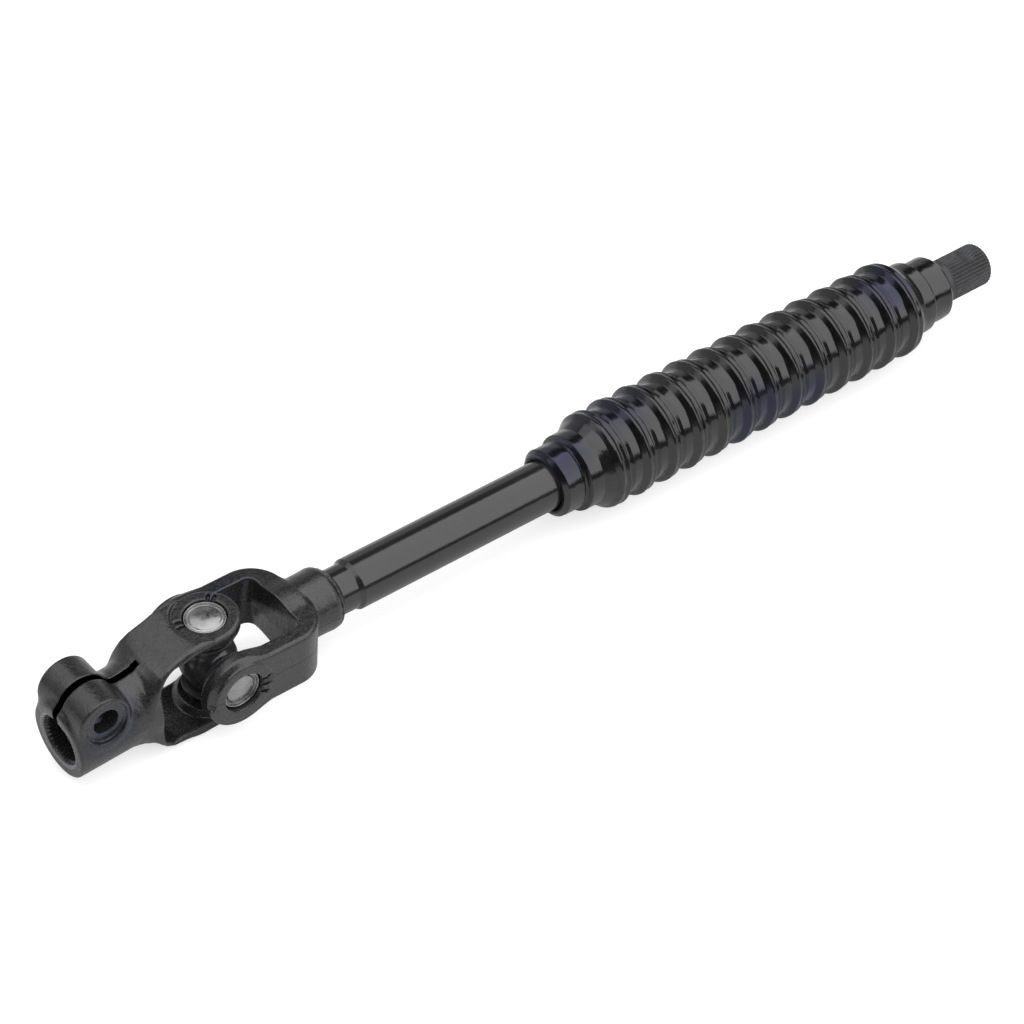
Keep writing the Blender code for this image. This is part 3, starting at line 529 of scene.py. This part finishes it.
def tinted(name, text, value):
    """A colour setting."""
    return bpy.props.FloatVectorProperty(name=name, description=text, default=value, subtype="COLOR", size=3,
                                         min=0.0, max=1.0)


class PaintSettings(bpy.types.PropertyGroup):
    paint: tinted("Paint", "Colour of the black paint on the yokes and the tube", (0.012, 0.012, 0.012))
    gloss: factor("Roughness", "How dull the paint is", 0.26)
    grain: bpy.props.FloatProperty(name="Grain", description="Depth of the forged grain", default=0.0004, min=0.0,
                                   max=0.002, unit="LENGTH")
    # Blue sets how strongly the paint's reflections are painted bluish in patches.
    blue: factor("Blue", "How blue the paint turns in patches", 0.8, 4.0)


class ClampSettings(bpy.types.PropertyGroup):
    hub: sized("Hub Radius", "Outer radius of the clamp hub", 15.8)
    reach: sized("Hub Reach", "Distance from the joint to the hub's face", 68.4)
    slit: sized("Slit", "Width of the clamp slit", 2.8)
    teeth: whole("Teeth", "Serrations round the hub's bore", 36)


class YokeSettings(bpy.types.PropertyGroup):
    half_span: sized("Half Span", "Distance from the joint to the arms' outer faces", 23.4)
    ear: sized("Ear Radius", "Radius of the bearing ears", 15.3)
    half_height: sized("Half Height", "Half the height of the arms", 12.2)
    bevel: sized("Bevel", "Width of the slope along the arms' upper edges", 1.0)
    pad: sized("Ear Pad", "How far the ears stand proud of the arms", 0.5)


class BearingSettings(bpy.types.PropertyGroup):
    steel: tinted("Cup Steel", "Colour of the bearing cups", (0.38, 0.38, 0.385))
    cross: tinted("Cross Steel", "Colour of the cross", (0.06, 0.06, 0.064))
    seal: tinted("Seal", "Colour of the rubber seals", (0.018, 0.018, 0.02))
    cup_face: sized("Cup Face", "Distance from the joint to a cup's outer face", 21.9)


class BootSettings(bpy.types.PropertyGroup):
    rubber: tinted("Rubber", "Colour of the bellows", (0.006, 0.006, 0.0065))
    gloss: factor("Roughness", "How dull the rubber is", 0.17)
    folds: whole("Folds", "Number of folds", 13)
    pitch: sized("Pitch", "Distance from fold to fold", 13.77)
    first: sized("First Crest", "Distance from the joint to the middle of the first crest", 193.8)
    crest: sized("Crest Radius", "Radius of the folds' crests", 21.55)
    valley: sized("Valley Radius", "Radius of the valleys between the folds", 18.2)


class ShaftSettings(bpy.types.PropertyGroup):
    steel: tinted("Shaft Steel", "Colour of the splined shaft", (0.055, 0.056, 0.058))
    teeth: whole("Teeth", "Serrations round the splined end", 36)
    radius: sized("Spline Radius", "Outer radius of the splined end", 9.7)


class StudioSettings(bpy.types.PropertyGroup):
    floor: tinted("Floor", "Colour of the floor", (0.6, 0.6, 0.6))
    key: factor("Key Light", "Brightness of the overhead panels", 1.8, 20.0)
    fill: factor("Fill Light", "Brightness of the surroundings", 0.35, 5.0)
    mirrored: factor("Mirrored", "Brightness of the surroundings in shiny surfaces", 0.16, 5.0)
    wing: factor("Wing", "Brightness of the sheet at the back left in shiny surfaces", 1.3, 5.0)
    backdrop: factor("Backdrop", "Brightness of the wall behind in shiny surfaces", 0.5, 5.0)


# Pieces


HUB_BORE = 10.3
BOLT_X, BOLT_Z = -55.0, 13.0
NOTCH_X, NOTCH_RADIUS = 405.5, 5.0


def ear_bore(body, ear, out, face):
    """The body with a bearing's bore of R 8.7 from 10 outwards, and a slope of 45 degrees at the ear's face."""
    bore = np.minimum(ear - 8.7, ear - 9.0 + (face - out))
    return round_cut(body, -np.maximum(bore, 10 - out), 0.25)


def tooth_wave(t, teeth):
    """0 in the middle of each tooth's share of the turn, and 1 at its ends."""
    return np.abs((t * teeth / (2 * math.pi)) % 1 - 0.5) * 2


class STEERING_OT_clamp_yoke(bpy.types.Operator):
    """Clamp yoke: a forged fork on a slit, serrated hub with its pinch-bolt boss"""

    bl_idname = "steering.clamp_yoke"
    bl_label = "Clamp Yoke"

    def execute(self, context):
        sizes, paint = context.scene.shaft_clamp, context.scene.shaft_paint
        ear_face, ear_radius = 22.4, 13.4

        def field(x, y, z):
            """Hub, boss and flared fork joined with fillets; then the mouth, bores, bolt hole and slit cut away.

            The fork is arched at the hub, with flat arms further out and a wider lower root.
            """
            away, ear, wide, high = np.hypot(y, z), np.hypot(x, y), np.abs(y), np.abs(z)
            hub = np.maximum(round_cut(away - sizes.hub, -sizes.reach - x, 1.0), x + 31)
            boss = round_cut(np.hypot(x + 55.8, z - 13.2) - 11.2, wide - 14.4, 0.9)
            body = round_join(hub, boss, 3.0)
            width = table(x, [(-34.5, 15.2), (-28.5, 14.0), (-22.5, ear_radius)])
            plan = np.where(x < 0, wide - width, ear - ear_radius)
            flare = table(x, [(-45, 14.4), (-42, 14.5), (-38.6, 14.7), (-35.5, 16.6), (-32.7, 19.7), (-29.6, 22.4),
                              (-26, 24.2), (-22, 25.2), (-18, 26.1), (-13, 27.8), (-8, 30)])
            below = table(x, [(-45, 0), (-42, 1.4), (-39, 2.2), (-36, 1.8), (-33, 0.9), (-26, 0.7), (-20, 0),
                              (-14, -0.3)])
            flare = flare + table(z, [(-12, 1), (6, 0)]) * below
            flat = np.sqrt(np.maximum(flare ** 2 - width ** 2, 1.0))
            arched = np.sqrt(np.maximum(flare ** 2 - y ** 2, 1.0))
            top = flat + (arched - flat) * table(x, [(-36, 1), (-26, 0)])
            cover = round_cut((high - top) * 0.8, high - 23.5, 1.2)
            edge = 1.0 + 1.2 * table(y, [(-4, 1), (4, 0)]) * table(z, [(0, 0), (6, 1)])
            fork = np.maximum(round_cut(plan, cover, edge), -45.0 - x)
            body = round_join(body, fork, 1.2)
            inner_face = table(ear, [(12.4, 16.5), (14.6, 18.8)])
            mouth = round_cut(high - inner_face, -30.0 - x, table(z, [(-6, 6.0), (6, 9.0)]))
            body = round_cut(body, -mouth, table(ear, [(13, 0.7), (16, 1.8)]))
            body = round_cut(body, -np.maximum(ear - 13.2, ear_face - high), 1.0)
            body = ear_bore(body, ear, high, ear_face)
            body = np.maximum(body, -stake_marks(x, y, high - ear_face, (35.0, 48.0, 160.0, 175.0), 10.4, 0.9))
            bolt = np.hypot(x - BOLT_X, z - BOLT_Z)
            body = round_cut(body, -np.maximum(bolt - 9.0, 13.6 - wide), 0.3)
            body = round_cut(body, -np.where(y < 0, bolt - 5.3, bolt - 4.3), 0.35)
            cone = away - 11.2 + np.maximum(x + sizes.reach, 0) * 0.9
            body = round_cut(body, -np.maximum(np.minimum(away - HUB_BORE, cone), x + 27), 0.4)
            slit = np.hypot(np.maximum(x + 33.8, 0), y) - sizes.slit / 2
            return round_cut(body, -np.maximum(slit, 2 - z), 0.35)

        points, faces = skin(field, (-69.6, -17, -25), (14.8, 17, 25), 0.5)
        # Places (x, y, z, reach in millimetres) where the paint's reflections are painted bluish.
        glints = ((-54, -16, 6, 24), (-64, 0, -6, 16), (6, 10, 24, 14))
        black = forged_paint("clamp_black_paint", paint, glints, slit_shade_and_lip_highlight)
        yoke = add_mesh("clamp_yoke_forging", points, faces, black, DROOPED)
        stand_for(yoke, "clamp", "black_paint", "clamp_yoke")
        points, faces = self.serrations(sizes)
        teeth = add_mesh("hub_serrations", points, faces, black, DROOPED, keep_flat=True)
        stand_for(teeth, "clamp", "black_paint")
        return {"FINISHED"}

    def serrations(self, sizes):
        """The bore's teeth: a broken ring of one outline to each step of the turn, capped at the slit.

        The first 8 points of an outline go along the tooth, at its share of the depth, and 3 lie in the metal.
        """
        root, depth, back = HUB_BORE + 0.05, 1.15, 10.9
        gap = math.asin(sizes.slit / 2 / HUB_BORE) + 0.02
        count = sizes.teeth * 8
        t = np.linspace(math.pi / 2 + gap, 2.5 * math.pi - gap, count + 1)[:, None]
        tip = root - depth * np.clip((tooth_wave(t, sizes.teeth) - 0.12) * 1.35, 0, 1)
        s = np.array([-67.4, -66.6, -66.2, -60, -50, -40, -32.6, -32.3, -32.3, -50, -67.4])
        deep = np.array([0, 0.75, 1, 1, 1, 1, 1, 0.6, -1, -1, -1])
        r = np.where(deep < 0, back, root + (tip - root) * deep)
        points = np.stack([np.broadcast_to(s, r.shape), r * np.cos(t), r * np.sin(t)], -1).reshape(-1, 3)
        caps = np.array([(0, 10, 9), *((i, 9, i + 1) for i in range(6)), (6, 9, 8), (6, 8, 7)])
        caps = np.concatenate([caps[:, ::-1], caps + count * len(s)])[:, ::-1]
        return points, [grid_faces(count + 1, len(s), False, True), caps]


class STEERING_OT_tube_yoke(bpy.types.Operator):
    """Tube yoke: a forged fork whose web runs into the socket that takes the tube"""

    bl_idname = "steering.tube_yoke"
    bl_label = "Tube Yoke"

    def execute(self, context):
        sizes, paint = context.scene.shaft_yoke, context.scene.shaft_paint
        ear_face = sizes.half_span + sizes.pad

        def field(x, y, z):
            """Ear and arm cut by a U-shaped plan and joined to the socket; then the mouth and bores cut away.

            The near ear swells a little below. The far ear shrinks a little above, and its shoulder is rounder.
            """
            away, ear, wide, high = np.hypot(y, z), np.hypot(x, z), np.abs(y), np.abs(z)
            far = table(y, [(-5, 0), (5, 1)])
            swell = 0.4 * table(z, [(-6, 1), (0, 0)]) * (1 - far) - 0.4 * table(z, [(0, 0), (6, 1)]) * far
            side = round_join(ear - sizes.ear - swell, round_cut(high - sizes.half_height, -x, 0.5), 3.0)
            plan = round_cut(wide - sizes.half_span, x - 41.6, 13.5 + 1.7 * far)
            slope = 0.707 * (plan + side + table(x, [(3, 2.3), (11, sizes.bevel)]))
            body = round_cut(side, plan, 0.9)
            body = np.where(z > -2, round_cut(body, slope, 0.4), body)
            pad = np.maximum(round_cut(ear - 13.3, wide - ear_face, 0.4), 20.0 - wide)
            body = np.minimum(body, pad)
            neck = np.hypot(y - 0.25, z - 0.25) - table(x, [(38, 13.0), (50, 13.1), (53, 13.3), (57, 12.6)])
            socket = np.maximum(round_cut(neck, x - 56.4, 2.4), 30 - x)
            body = round_join(body, socket, 2.6)
            body = round_cut(body, -round_cut(wide - 16.5, x - 31.0 - high * 0.085, 4.0), 0.6)
            body = ear_bore(body, ear, wide, ear_face)
            body = np.maximum(body, -stake_marks(x, z, wide - ear_face, (-26.0, -8.0, 10.0), 10.9, 1.7))
            return round_cut(body, -np.maximum(away - 10.2, 47.2 - x), 0.4)

        points, faces = skin(field, (-16.2, -24, -16.4), (58.8, 24, 16.4), 0.5)
        # The yoke's reflections are painted bluish near one place, and its web gets a painted reflection of the
        # floor.
        black = forged_paint("yoke_black_paint", paint, ((16, 22, 10, 26),), web_floor_reflection, flash=True)
        yoke = add_mesh("tube_yoke_forging", points, faces, black)
        stand_for(yoke, "tube_side", "black_paint", "tube_yoke")
        return {"FINISHED"}


class STEERING_OT_cross(bpy.types.Operator):
    """Cross: a rounded core with four trunnions, each with its rubber seal"""

    bl_idname = "steering.cross"
    bl_label = "Cross and Seals"

    def execute(self, context):
        colours = context.scene.shaft_bearing

        def field(x, y, z):
            """A ball and four tapered trunnions joined with fillets."""
            body = np.sqrt(x ** 2 + y ** 2 + z ** 2) - 11.6
            for across, along in ((z, np.abs(y)), (y, np.abs(z))):
                wide = table(along, [(8, 8.6), (11.2, 7.6), (11.4, 4.6)])
                body = round_join(body, round_cut(np.hypot(x, across) - wide, along - 19.6, 0.5), 1.2)
            return body

        steel = phosphate_steel("cross_dark_steel", colours.cross, 0.17)
        points, faces = skin(field, (-12.4, -20.4, -20.4), (12.4, 20.4, 20.4), 0.45)
        cross = add_mesh("joint_cross_forging", points, faces, steel, DROOPED)
        stand_for(cross, "cross", "cross_steel", "joint_cross")

        rubber = moulded_rubber("seal_black_rubber", colours.seal, 0.45)
        line = rounded_outline([(11.5, 5.4), (11.5, 9.0), (11.9, 10.9), (13.3, 10.9), (13.3, 9.6), (12.7, 8.6),
                                (12.9, 5.4), (11.5, 5.4)], [0.3, 0.45, 0.45, 0.3, 0.5, 0.3], 1.0)
        for name, points, faces, turn in four_ways(*turned(line[:-1], 96, "y")):
            seal = add_mesh(f"trunnion_seal_{name}", points, faces, rubber, turn)
            stand_for(seal, "cross", "seal_rubber", f"journal_seal_{name}")
        return {"FINISHED"}


class STEERING_OT_bearings(bpy.types.Operator):
    """Bearing cups: four drawn cups with a rim, a groove and a polished dome"""

    bl_idname = "steering.bearings"
    bl_label = "Bearing Cups"

    def execute(self, context):
        sizes = context.scene.shaft_bearing
        steel = machined_steel("cup_bright_steel", sizes.steel, 0.26, 0.00003)
        face, groove, dome_radius = sizes.cup_face, sizes.cup_face - 1.1, 6.3
        inside = np.array([(face - 1.5, 0.0), (face - 1.5, 5.0)])
        shell = rounded_outline([(13.7, 5.0), (13.7, 8.3), (face, 8.3), (face, 7.6), (groove, 7.3),
                                 (groove, dome_radius)], [0.3, 0.4, 0.2, 0.2], 0.6)
        share = np.linspace(0, 1, 24)[1:]
        rise = 0.5 * np.clip(share / 0.04, 0, 1) + 0.9 * (1 - (1 - share) ** 2)
        dome = np.stack([groove + rise, dome_radius * (1 - share)], 1)
        line = np.concatenate([inside, shell, dome])
        for name, points, faces, turn in four_ways(*turned(line, 96, "y")):
            cup = add_mesh(f"cup_{name}", points, faces, steel, turn)
            body = "tube_side" if name in ("near", "far") else "clamp"
            stand_for(cup, body, "bearing_steel", f"bearing_cup_{name}")
        return {"FINISHED"}


class STEERING_OT_tube(bpy.types.Operator):
    """Outer tube with its reduced neck, and the weld bead that holds it in the socket"""

    bl_idname = "steering.tube"
    bl_label = "Tube and Weld"

    def execute(self, context):
        paint = context.scene.shaft_paint
        black = smooth_paint("tube_black_paint", paint)
        neck = 9.65
        line = rounded_outline([(60, 8.98), (47.4, 8.98), (47.4, neck), (66.2, neck), (68.0, 10.75), (261.2, 10.75),
                                (261.2, 9.05), (60, 8.98)], [0.1, 0.2, 0.8, 0.8, 0.3, 0.2], 3.0)
        points, faces = turned(line[:-1], 128)
        tube = add_mesh("outer_tube_skin", points, faces, black)
        stand_for(tube, "tube_side", "black_paint", "outer_tube")

        def lumps(s, r, t):
            """Overlapping scallops round the bead, with slow swells so that no two are alike."""
            scallop = np.abs(np.sin(9 * t + 0.5 * (s - 59))) ** 0.6 * 0.35
            swell = 0.16 * np.sin(3 * t + 1.3) + 0.1 * np.sin(7 * t + s) + 0.08 * np.sin(23 * t + 2 * s)
            return r + (scallop + swell) * np.clip((r - neck) / 2.0, 0, 1)

        bead = [(55.4, neck), (55.3, 11.2), (55.6, 11.9), (56.0, 12.1), (56.5, 11.9), (57.0, 11.4), (57.6, 10.7),
                (58.2, 10.1), (58.6, neck)]
        points, faces = turned(bead, 216, "x", lumps)
        weld = add_mesh("weld_bead_ripples", points, faces, weld_paint("weld_black_paint", paint))
        stand_for(weld, "tube_side", "weld_paint", "weld_bead")
        return {"FINISHED"}


class STEERING_OT_bellows(bpy.types.Operator):
    """Bellows: a moulded rubber boot between the tube and the sliding shaft"""

    bl_idname = "steering.bellows"
    bl_label = "Bellows"

    def execute(self, context):
        sizes = context.scene.shaft_boot
        points, faces = turned(self.profile(sizes), 144, "x", self.sag)
        # Places (x, y, z, reach in millimetres) where the rubber's reflections are painted bluish.
        glints = ((172, 0, 16, 24), (205, 12, 20, 32), (268, -20, -4, 30), (296, -20, -8, 26), (352, 0, 20, 24))
        rubber = moulded_rubber("bellows_black_rubber", sizes.rubber, sizes.gloss, 1.0, glints)
        boot = add_mesh("bellows_boot_skin", points, faces, rubber)
        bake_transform(boot)
        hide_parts("bellows_boot")
        return {"FINISHED"}

    def profile(self, sizes):
        """Cuff, folds and tail cuff as corners (x, r, radius of the rounding), and back along the inside.

        A fold has a shoulder, a low ridge, a high ridge and a flat valley.
        """
        crest, valley = sizes.crest, sizes.valley
        corners = [(166.9, 11.2, 0), (166.9, 12.8, 0.5), (168.6, 14.75, 0.5), (176.6, 14.75, 1.2), (177.4, 13.7, 0.7),
                   (178.2, 14.6, 0.4), (179.0, 16.7, 0.4), (185.4, 16.7, 0.8), (189.8, 19.1, 1.2),
                   (192.1, crest - 0.5, 1.5), (194.2, crest - 1.3, 1.0)]
        for fold in range(sizes.folds):
            top = sizes.first + sizes.pitch * fold
            if fold > 0:
                corners += [(top - 7.6, valley + 0.6, 0.4), (top - 3.7, valley + 0.7, 1.0),
                            (top - 1.3, crest + 0.2, 1.2), (top + 0.4, crest - 0.9, 1.0)]
            corners.append((top + 2.2, crest - (0.5 if fold > 0 else 0.3), 0.8))
            if fold < sizes.folds - 1:
                corners += [(top + 3.8, valley, 0.8), (top + 4.8, valley, 0.6)]
        corners += [(367.8, 16.3, 0.8), (374.4, 16.3, 1.0), (375.0, 14.5, 0.8), (385.6, 14.4, 0.4),
                    (386.6, 13.7, 0.6), (387.2, 12.6, 0.3), (387.2, 10.6, 0)]
        corners, wall = np.array(corners), 1.4
        outer = rounded_outline(corners[:, :2], corners[1:-1, 2], 1.4)
        inner = outer[::3] - [0, wall]
        inner[:, 1] = np.maximum(inner[:, 1], np.where(inner[:, 0] > 372, 10.6, 11.2))
        inner = inner[(inner[:, 0] > 166) & (inner[:, 0] < 387)]
        return np.concatenate([outer, inner[::-1]])

    def sag(self, s, r, t):
        """Slow waves round and along the rubber, so that no two folds catch the light alike."""
        waves = 0.06 * np.sin(3 * t + 0.37 * s) + 0.05 * np.sin(7 * t - 1.1 * s) + 0.03 * np.sin(13 * t + 2.3 * s)
        return r + waves


class STEERING_OT_splined_shaft(bpy.types.Operator):
    """Sliding shaft: its visible end has a seat for the boot, fine serrations, a bolt notch and a chamfered face"""

    bl_idname = "steering.splined_shaft"
    bl_label = "Splined Shaft"

    def execute(self, context):
        sizes = context.scene.shaft_slider
        steel = phosphate_steel("shaft_dark_steel", sizes.steel, 0.45)
        tip = sizes.radius
        profile = rounded_outline([(172.5, 0), (172.5, 6.6), (173.3, 7.3), (233, 7.3), (234, 7.6), (367.8, 7.6),
                                   (368.4, 10.0), (391.9, 10.0), (392.3, 9.3), (392.8, tip), (414.3, tip),
                                   (415.5, tip - 1.3), (415.5, 0)],
                                  [0.2, 0.2, 0.2, 0.2, 0.2, 0.2, 0.4, 0.1, 0.2, 0.25, 0.3], 0.9)

        def toothed(s, r, t):
            """The radius less the grooves between the teeth, 0.75 deep past the boot's seat."""
            cut = np.clip((s - 392.6) / 1.2, 0, 1) * np.clip((r - (tip - 1.6)) / 1.0, 0, 1)
            return r - cut * 0.75 * np.clip((tooth_wave(t, sizes.teeth) - 0.25) * 1.6, 0, 1)

        points, faces = turned(profile, sizes.teeth * 10, "x", toothed)
        x, z = points[:, 0], points[:, 2]
        drop = np.sqrt(np.maximum(NOTCH_RADIUS ** 2 - (x - NOTCH_X) ** 2, 0))
        notch = tip - 1.3 + np.maximum(NOTCH_RADIUS - drop, 0)
        points[:, 2] = np.where(np.abs(x - NOTCH_X) < NOTCH_RADIUS, np.minimum(z, notch), z)
        shaft = add_mesh("sliding_shaft_turned", points, faces, steel)
        stand_for(shaft, "slider", "dark_shaft_steel", "inner_shaft")
        return {"FINISHED"}


class STEERING_OT_inner_parts(bpy.types.Operator):
    """Finishes of the small inner parts: nylon liner and thrust pads, and the spring-steel stop ring"""

    bl_idname = "steering.inner_parts"
    bl_label = "Inner Parts"

    def execute(self, context):
        nylon = plain_nylon("liner_nylon", (0.62, 0.6, 0.52))
        spring = machined_steel("ring_spring_steel", (0.34, 0.34, 0.36), 0.3, 0.00005)
        for name, node in frame["nodes"].items():
            if name.startswith("thrust_pad") or name == "spline_liner":
                look, slot = nylon, "nylon"
            elif name == "stop_ring":
                look, slot = spring, "spring_steel"
            else:
                continue
            node.data.materials.clear()
            node.data.materials.append(look)
        return {"FINISHED"}


# Studio


def by_ray(tree, lit, seen, mirrored):
    """A strength that is one value as light, another seen directly or through glass, and a third in mirrors."""
    path = add_node(tree, "ShaderNodeLightPath").outputs
    direct = add_node(tree, "ShaderNodeMath", {0: path["Is Camera Ray"], 1: path["Is Transmission Ray"]},
                      operation="MAXIMUM").outputs[0]
    plain = add_node(tree, "ShaderNodeMapRange", {"Value": direct, "To Min": lit, "To Max": seen}).outputs[0]
    return add_node(tree, "ShaderNodeMapRange",
                    {"Value": path["Is Glossy Ray"], "To Min": plain, "To Max": mirrored}).outputs[0]


def pale_sheet(name, strength):
    """A white sheet that glows, very slightly uneven."""
    n = Nodes(name)
    haze = n.ramp(n.noise(0.8, 1), 0.3, 0.7, 0.96, 1.0)
    return n.show(n.add("ShaderNodeEmission", {"Color": haze, "Strength": strength}))


class STEERING_OT_studio(bpy.types.Operator):
    """Studio: a pale floor, overhead panels with black borders, and the camera of the main view"""

    bl_idname = "steering.studio"
    bl_label = "Studio and Camera"

    def execute(self, context):
        settings = context.scene.shaft_studio
        self.add_camera(context)
        self.add_floor(settings)
        self.add_world(context, settings)
        self.add_lights(settings)
        self.add_cards(settings)
        return {"FINISHED"}

    def add_object(self, data, right, up, back, place):
        """An object at a place in metres, its own X, Y and Z along the three directions."""
        thing = bpy.data.objects.new(data.name, data)
        rows = np.eye(4)
        rows[:3] = np.stack([right, up, back, place], 1)
        thing.matrix_world = Matrix(rows)
        bpy.context.scene.collection.objects.link(thing)
        return thing

    def add_camera(self, context):
        """The camera's axes come from its azimuth, its elevation and a small roll about its line of sight."""
        azimuth, elevation, roll = (math.radians(angle) for angle in (-42.364, 42.32, 4.367))
        sensor, focal_pixels, picture_pixels = 36.0, 3500.0, 1024.0
        level, rise = math.cos(elevation), math.sin(elevation)
        right = np.array([math.cos(azimuth), math.sin(azimuth), 0])
        back = np.array([math.sin(azimuth) * level, -math.cos(azimuth) * level, rise])
        up = np.cross(back, right)
        rolled_right = right * math.cos(roll) + up * math.sin(roll)
        rolled_up = up * math.cos(roll) - right * math.sin(roll)
        data = bpy.data.cameras.new("main_view")
        data.sensor_width, data.lens = sensor, sensor * focal_pixels / picture_pixels
        data.shift_x, data.shift_y = -0.5 / picture_pixels, 0.5 / picture_pixels
        data.clip_start, data.clip_end = 0.05, 30.0
        place = (CENTRE + [-552.6, -771.41, 944.12]) / MM
        context.scene.camera = self.add_object(data, rolled_right, rolled_up, back, place)

    def add_floor(self, settings):
        """A square of 6 m just under the part's lowest point, given as a grid of two rows."""
        u, v = np.meshgrid([-3.0, 3.0], [-3.0, 3.0], indexing="ij")
        points = np.stack([u, v, np.full(u.shape, SOLID_BOX[0].z - 0.0005)], -1).reshape(-1, 3) * MM - CENTRE
        n = Nodes("pale_floor")
        grain = n.speckle(n.noise(3, 2), 0.3, 0.7, settings.floor, 0.98, 1.0)
        diffuse = n.add("ShaderNodeBsdfDiffuse", {"Color": grain})
        glow = n.add("ShaderNodeEmission", {"Color": (1, 1, 1, 1), "Strength": by_ray(n.tree, 0.0, 0.6, 0.04)})
        look = n.show(n.add("ShaderNodeAddShader", {0: diffuse.outputs[0], 1: glow.outputs[0]}))
        add_mesh("floor", points, [grid_faces(2, 2, False, False)], look, keep_flat=True)

    def add_world(self, context, settings):
        """White where the camera and mirrors look past the floor, and a soft grey as light."""
        world = bpy.data.worlds.new("studio")
        world.use_nodes = True
        tree = world.node_tree
        tree.nodes.clear()
        strength = by_ray(tree, settings.fill, 1.0, settings.mirrored)
        background = add_node(tree, "ShaderNodeBackground", {"Color": (1, 1, 1, 1), "Strength": strength})
        add_node(tree, "ShaderNodeOutputWorld", {"Surface": background.outputs[0]})
        context.scene.world = world
        context.scene.view_settings.view_transform = "Standard"

    def add_lights(self, settings):
        """Four panels side by side on an arch about the shaft's line, each facing it.

        A panel of brightness b and area a has a power of pi * a * b.
        """
        radius, length, share, first, middle = 2.6, 5.6, 25.5, -14.75, 0.55
        wide = 2 * radius * math.tan(math.radians(share / 2))
        for index in range(4):
            data = bpy.data.lights.new(f"panel_{index}", "AREA")
            data.shape, data.size, data.size_y = "RECTANGLE", length, wide
            data.energy = math.pi * length * wide * settings.key
            angle = math.radians(first + share * index)
            out = np.array([0, -math.sin(angle), math.cos(angle)])
            across = np.array([0, math.cos(angle), math.sin(angle)])
            self.add_object(data, [1, 0, 0], across, out, out * radius + [middle, 0, 0])

    def add_cards(self, settings):
        """Cards that only mirrors see: two strips of an arch, two patches of a dome and a pale wall behind.

        A card is a grid of two coordinates, for which its place gives x, y and z in metres.
        """
        n = Nodes("black_card")
        cloth = n.ramp(n.noise(20, 2), 0.3, 0.7, 0.004, 0.006)
        black = n.finish(Base_Color=cloth, Roughness=1.0, Specular_IOR_Level=0.0)

        def arch(x, angle):
            return x, 2.4 * np.sin(np.radians(angle)), 2.4 * np.cos(np.radians(angle))

        def dome(radius):
            def place(azimuth, elevation):
                a, e = np.radians(azimuth), np.radians(elevation)
                return radius * np.sin(a) * np.cos(e), -radius * np.cos(a) * np.cos(e), radius * np.sin(e)
            return place

        white, wall = pale_sheet("pale_wing", settings.wing), pale_sheet("pale_backdrop", settings.backdrop)
        for name, look, u, v, place in (
                ("back_card", black, (0.3, 4.5, 12), (28, 50, 6), arch),
                ("pale_wing", white, (-4.0, 0.28, 12), (28, 50, 6), arch),
                ("camera_side_card", black, (-100, 14, 25), (8, 49, 9), dome(2.2)),
                ("far_table_edge", black, (-10, 120, 25), (1, 10, 9), dome(2.9)),
                ("pale_backdrop", wall, (-4.0, 6.0, 2), (0.0, 1.9, 2), lambda x, z: (x, 2.9, z))):
            u, v = np.linspace(*u), np.linspace(*v)
            grid = np.broadcast_arrays(*place(*np.meshgrid(u, v, indexing="ij")))
            points = np.stack(grid, -1).reshape(-1, 3) * MM - CENTRE
            card = add_mesh(name, points, [grid_faces(len(u), len(v), False, False)], look)
            card.visible_camera = card.visible_diffuse = card.visible_shadow = False


# Panel


STEPS = (STEERING_OT_studio, STEERING_OT_clamp_yoke, STEERING_OT_tube_yoke, STEERING_OT_cross, STEERING_OT_bearings,
         STEERING_OT_tube, STEERING_OT_bellows, STEERING_OT_splined_shaft, STEERING_OT_inner_parts)
SETTINGS = {"shaft_paint": PaintSettings, "shaft_clamp": ClampSettings, "shaft_yoke": YokeSettings,
            "shaft_bearing": BearingSettings, "shaft_boot": BootSettings, "shaft_slider": ShaftSettings,
            "shaft_studio": StudioSettings}


class STEERING_PT_panel(bpy.types.Panel):
    """The builder's buttons and settings, in the 3D view's sidebar"""

    bl_label = "Steering Shaft"
    bl_idname = "STEERING_PT_panel"
    bl_space_type = "VIEW_3D"
    bl_region_type = "UI"
    bl_category = "Steering Shaft"

    def draw(self, context):
        layout = self.layout
        for step in STEPS:
            layout.operator(step.bl_idname)
        for key, group in SETTINGS.items():
            box = layout.box()
            box.label(text=group.__name__.replace("Settings", ""))
            for field in group.__annotations__:
                box.prop(getattr(context.scene, key), field)


CLASSES = (*SETTINGS.values(), *STEPS, STEERING_PT_panel)


def register():
    for kind in CLASSES:
        bpy.utils.register_class(kind)
    for key, group in SETTINGS.items():
        setattr(bpy.types.Scene, key, bpy.props.PointerProperty(type=group))


def unregister():
    for key in SETTINGS:
        delattr(bpy.types.Scene, key)
    for kind in reversed(CLASSES):
        bpy.utils.unregister_class(kind)


def main():
    """Registers the builder, then builds every piece."""
    register()
    for step in STEPS:
        area, name = step.bl_idname.split(".")
        getattr(getattr(bpy.ops, area), name)()


if __name__ == "__main__":
    main()
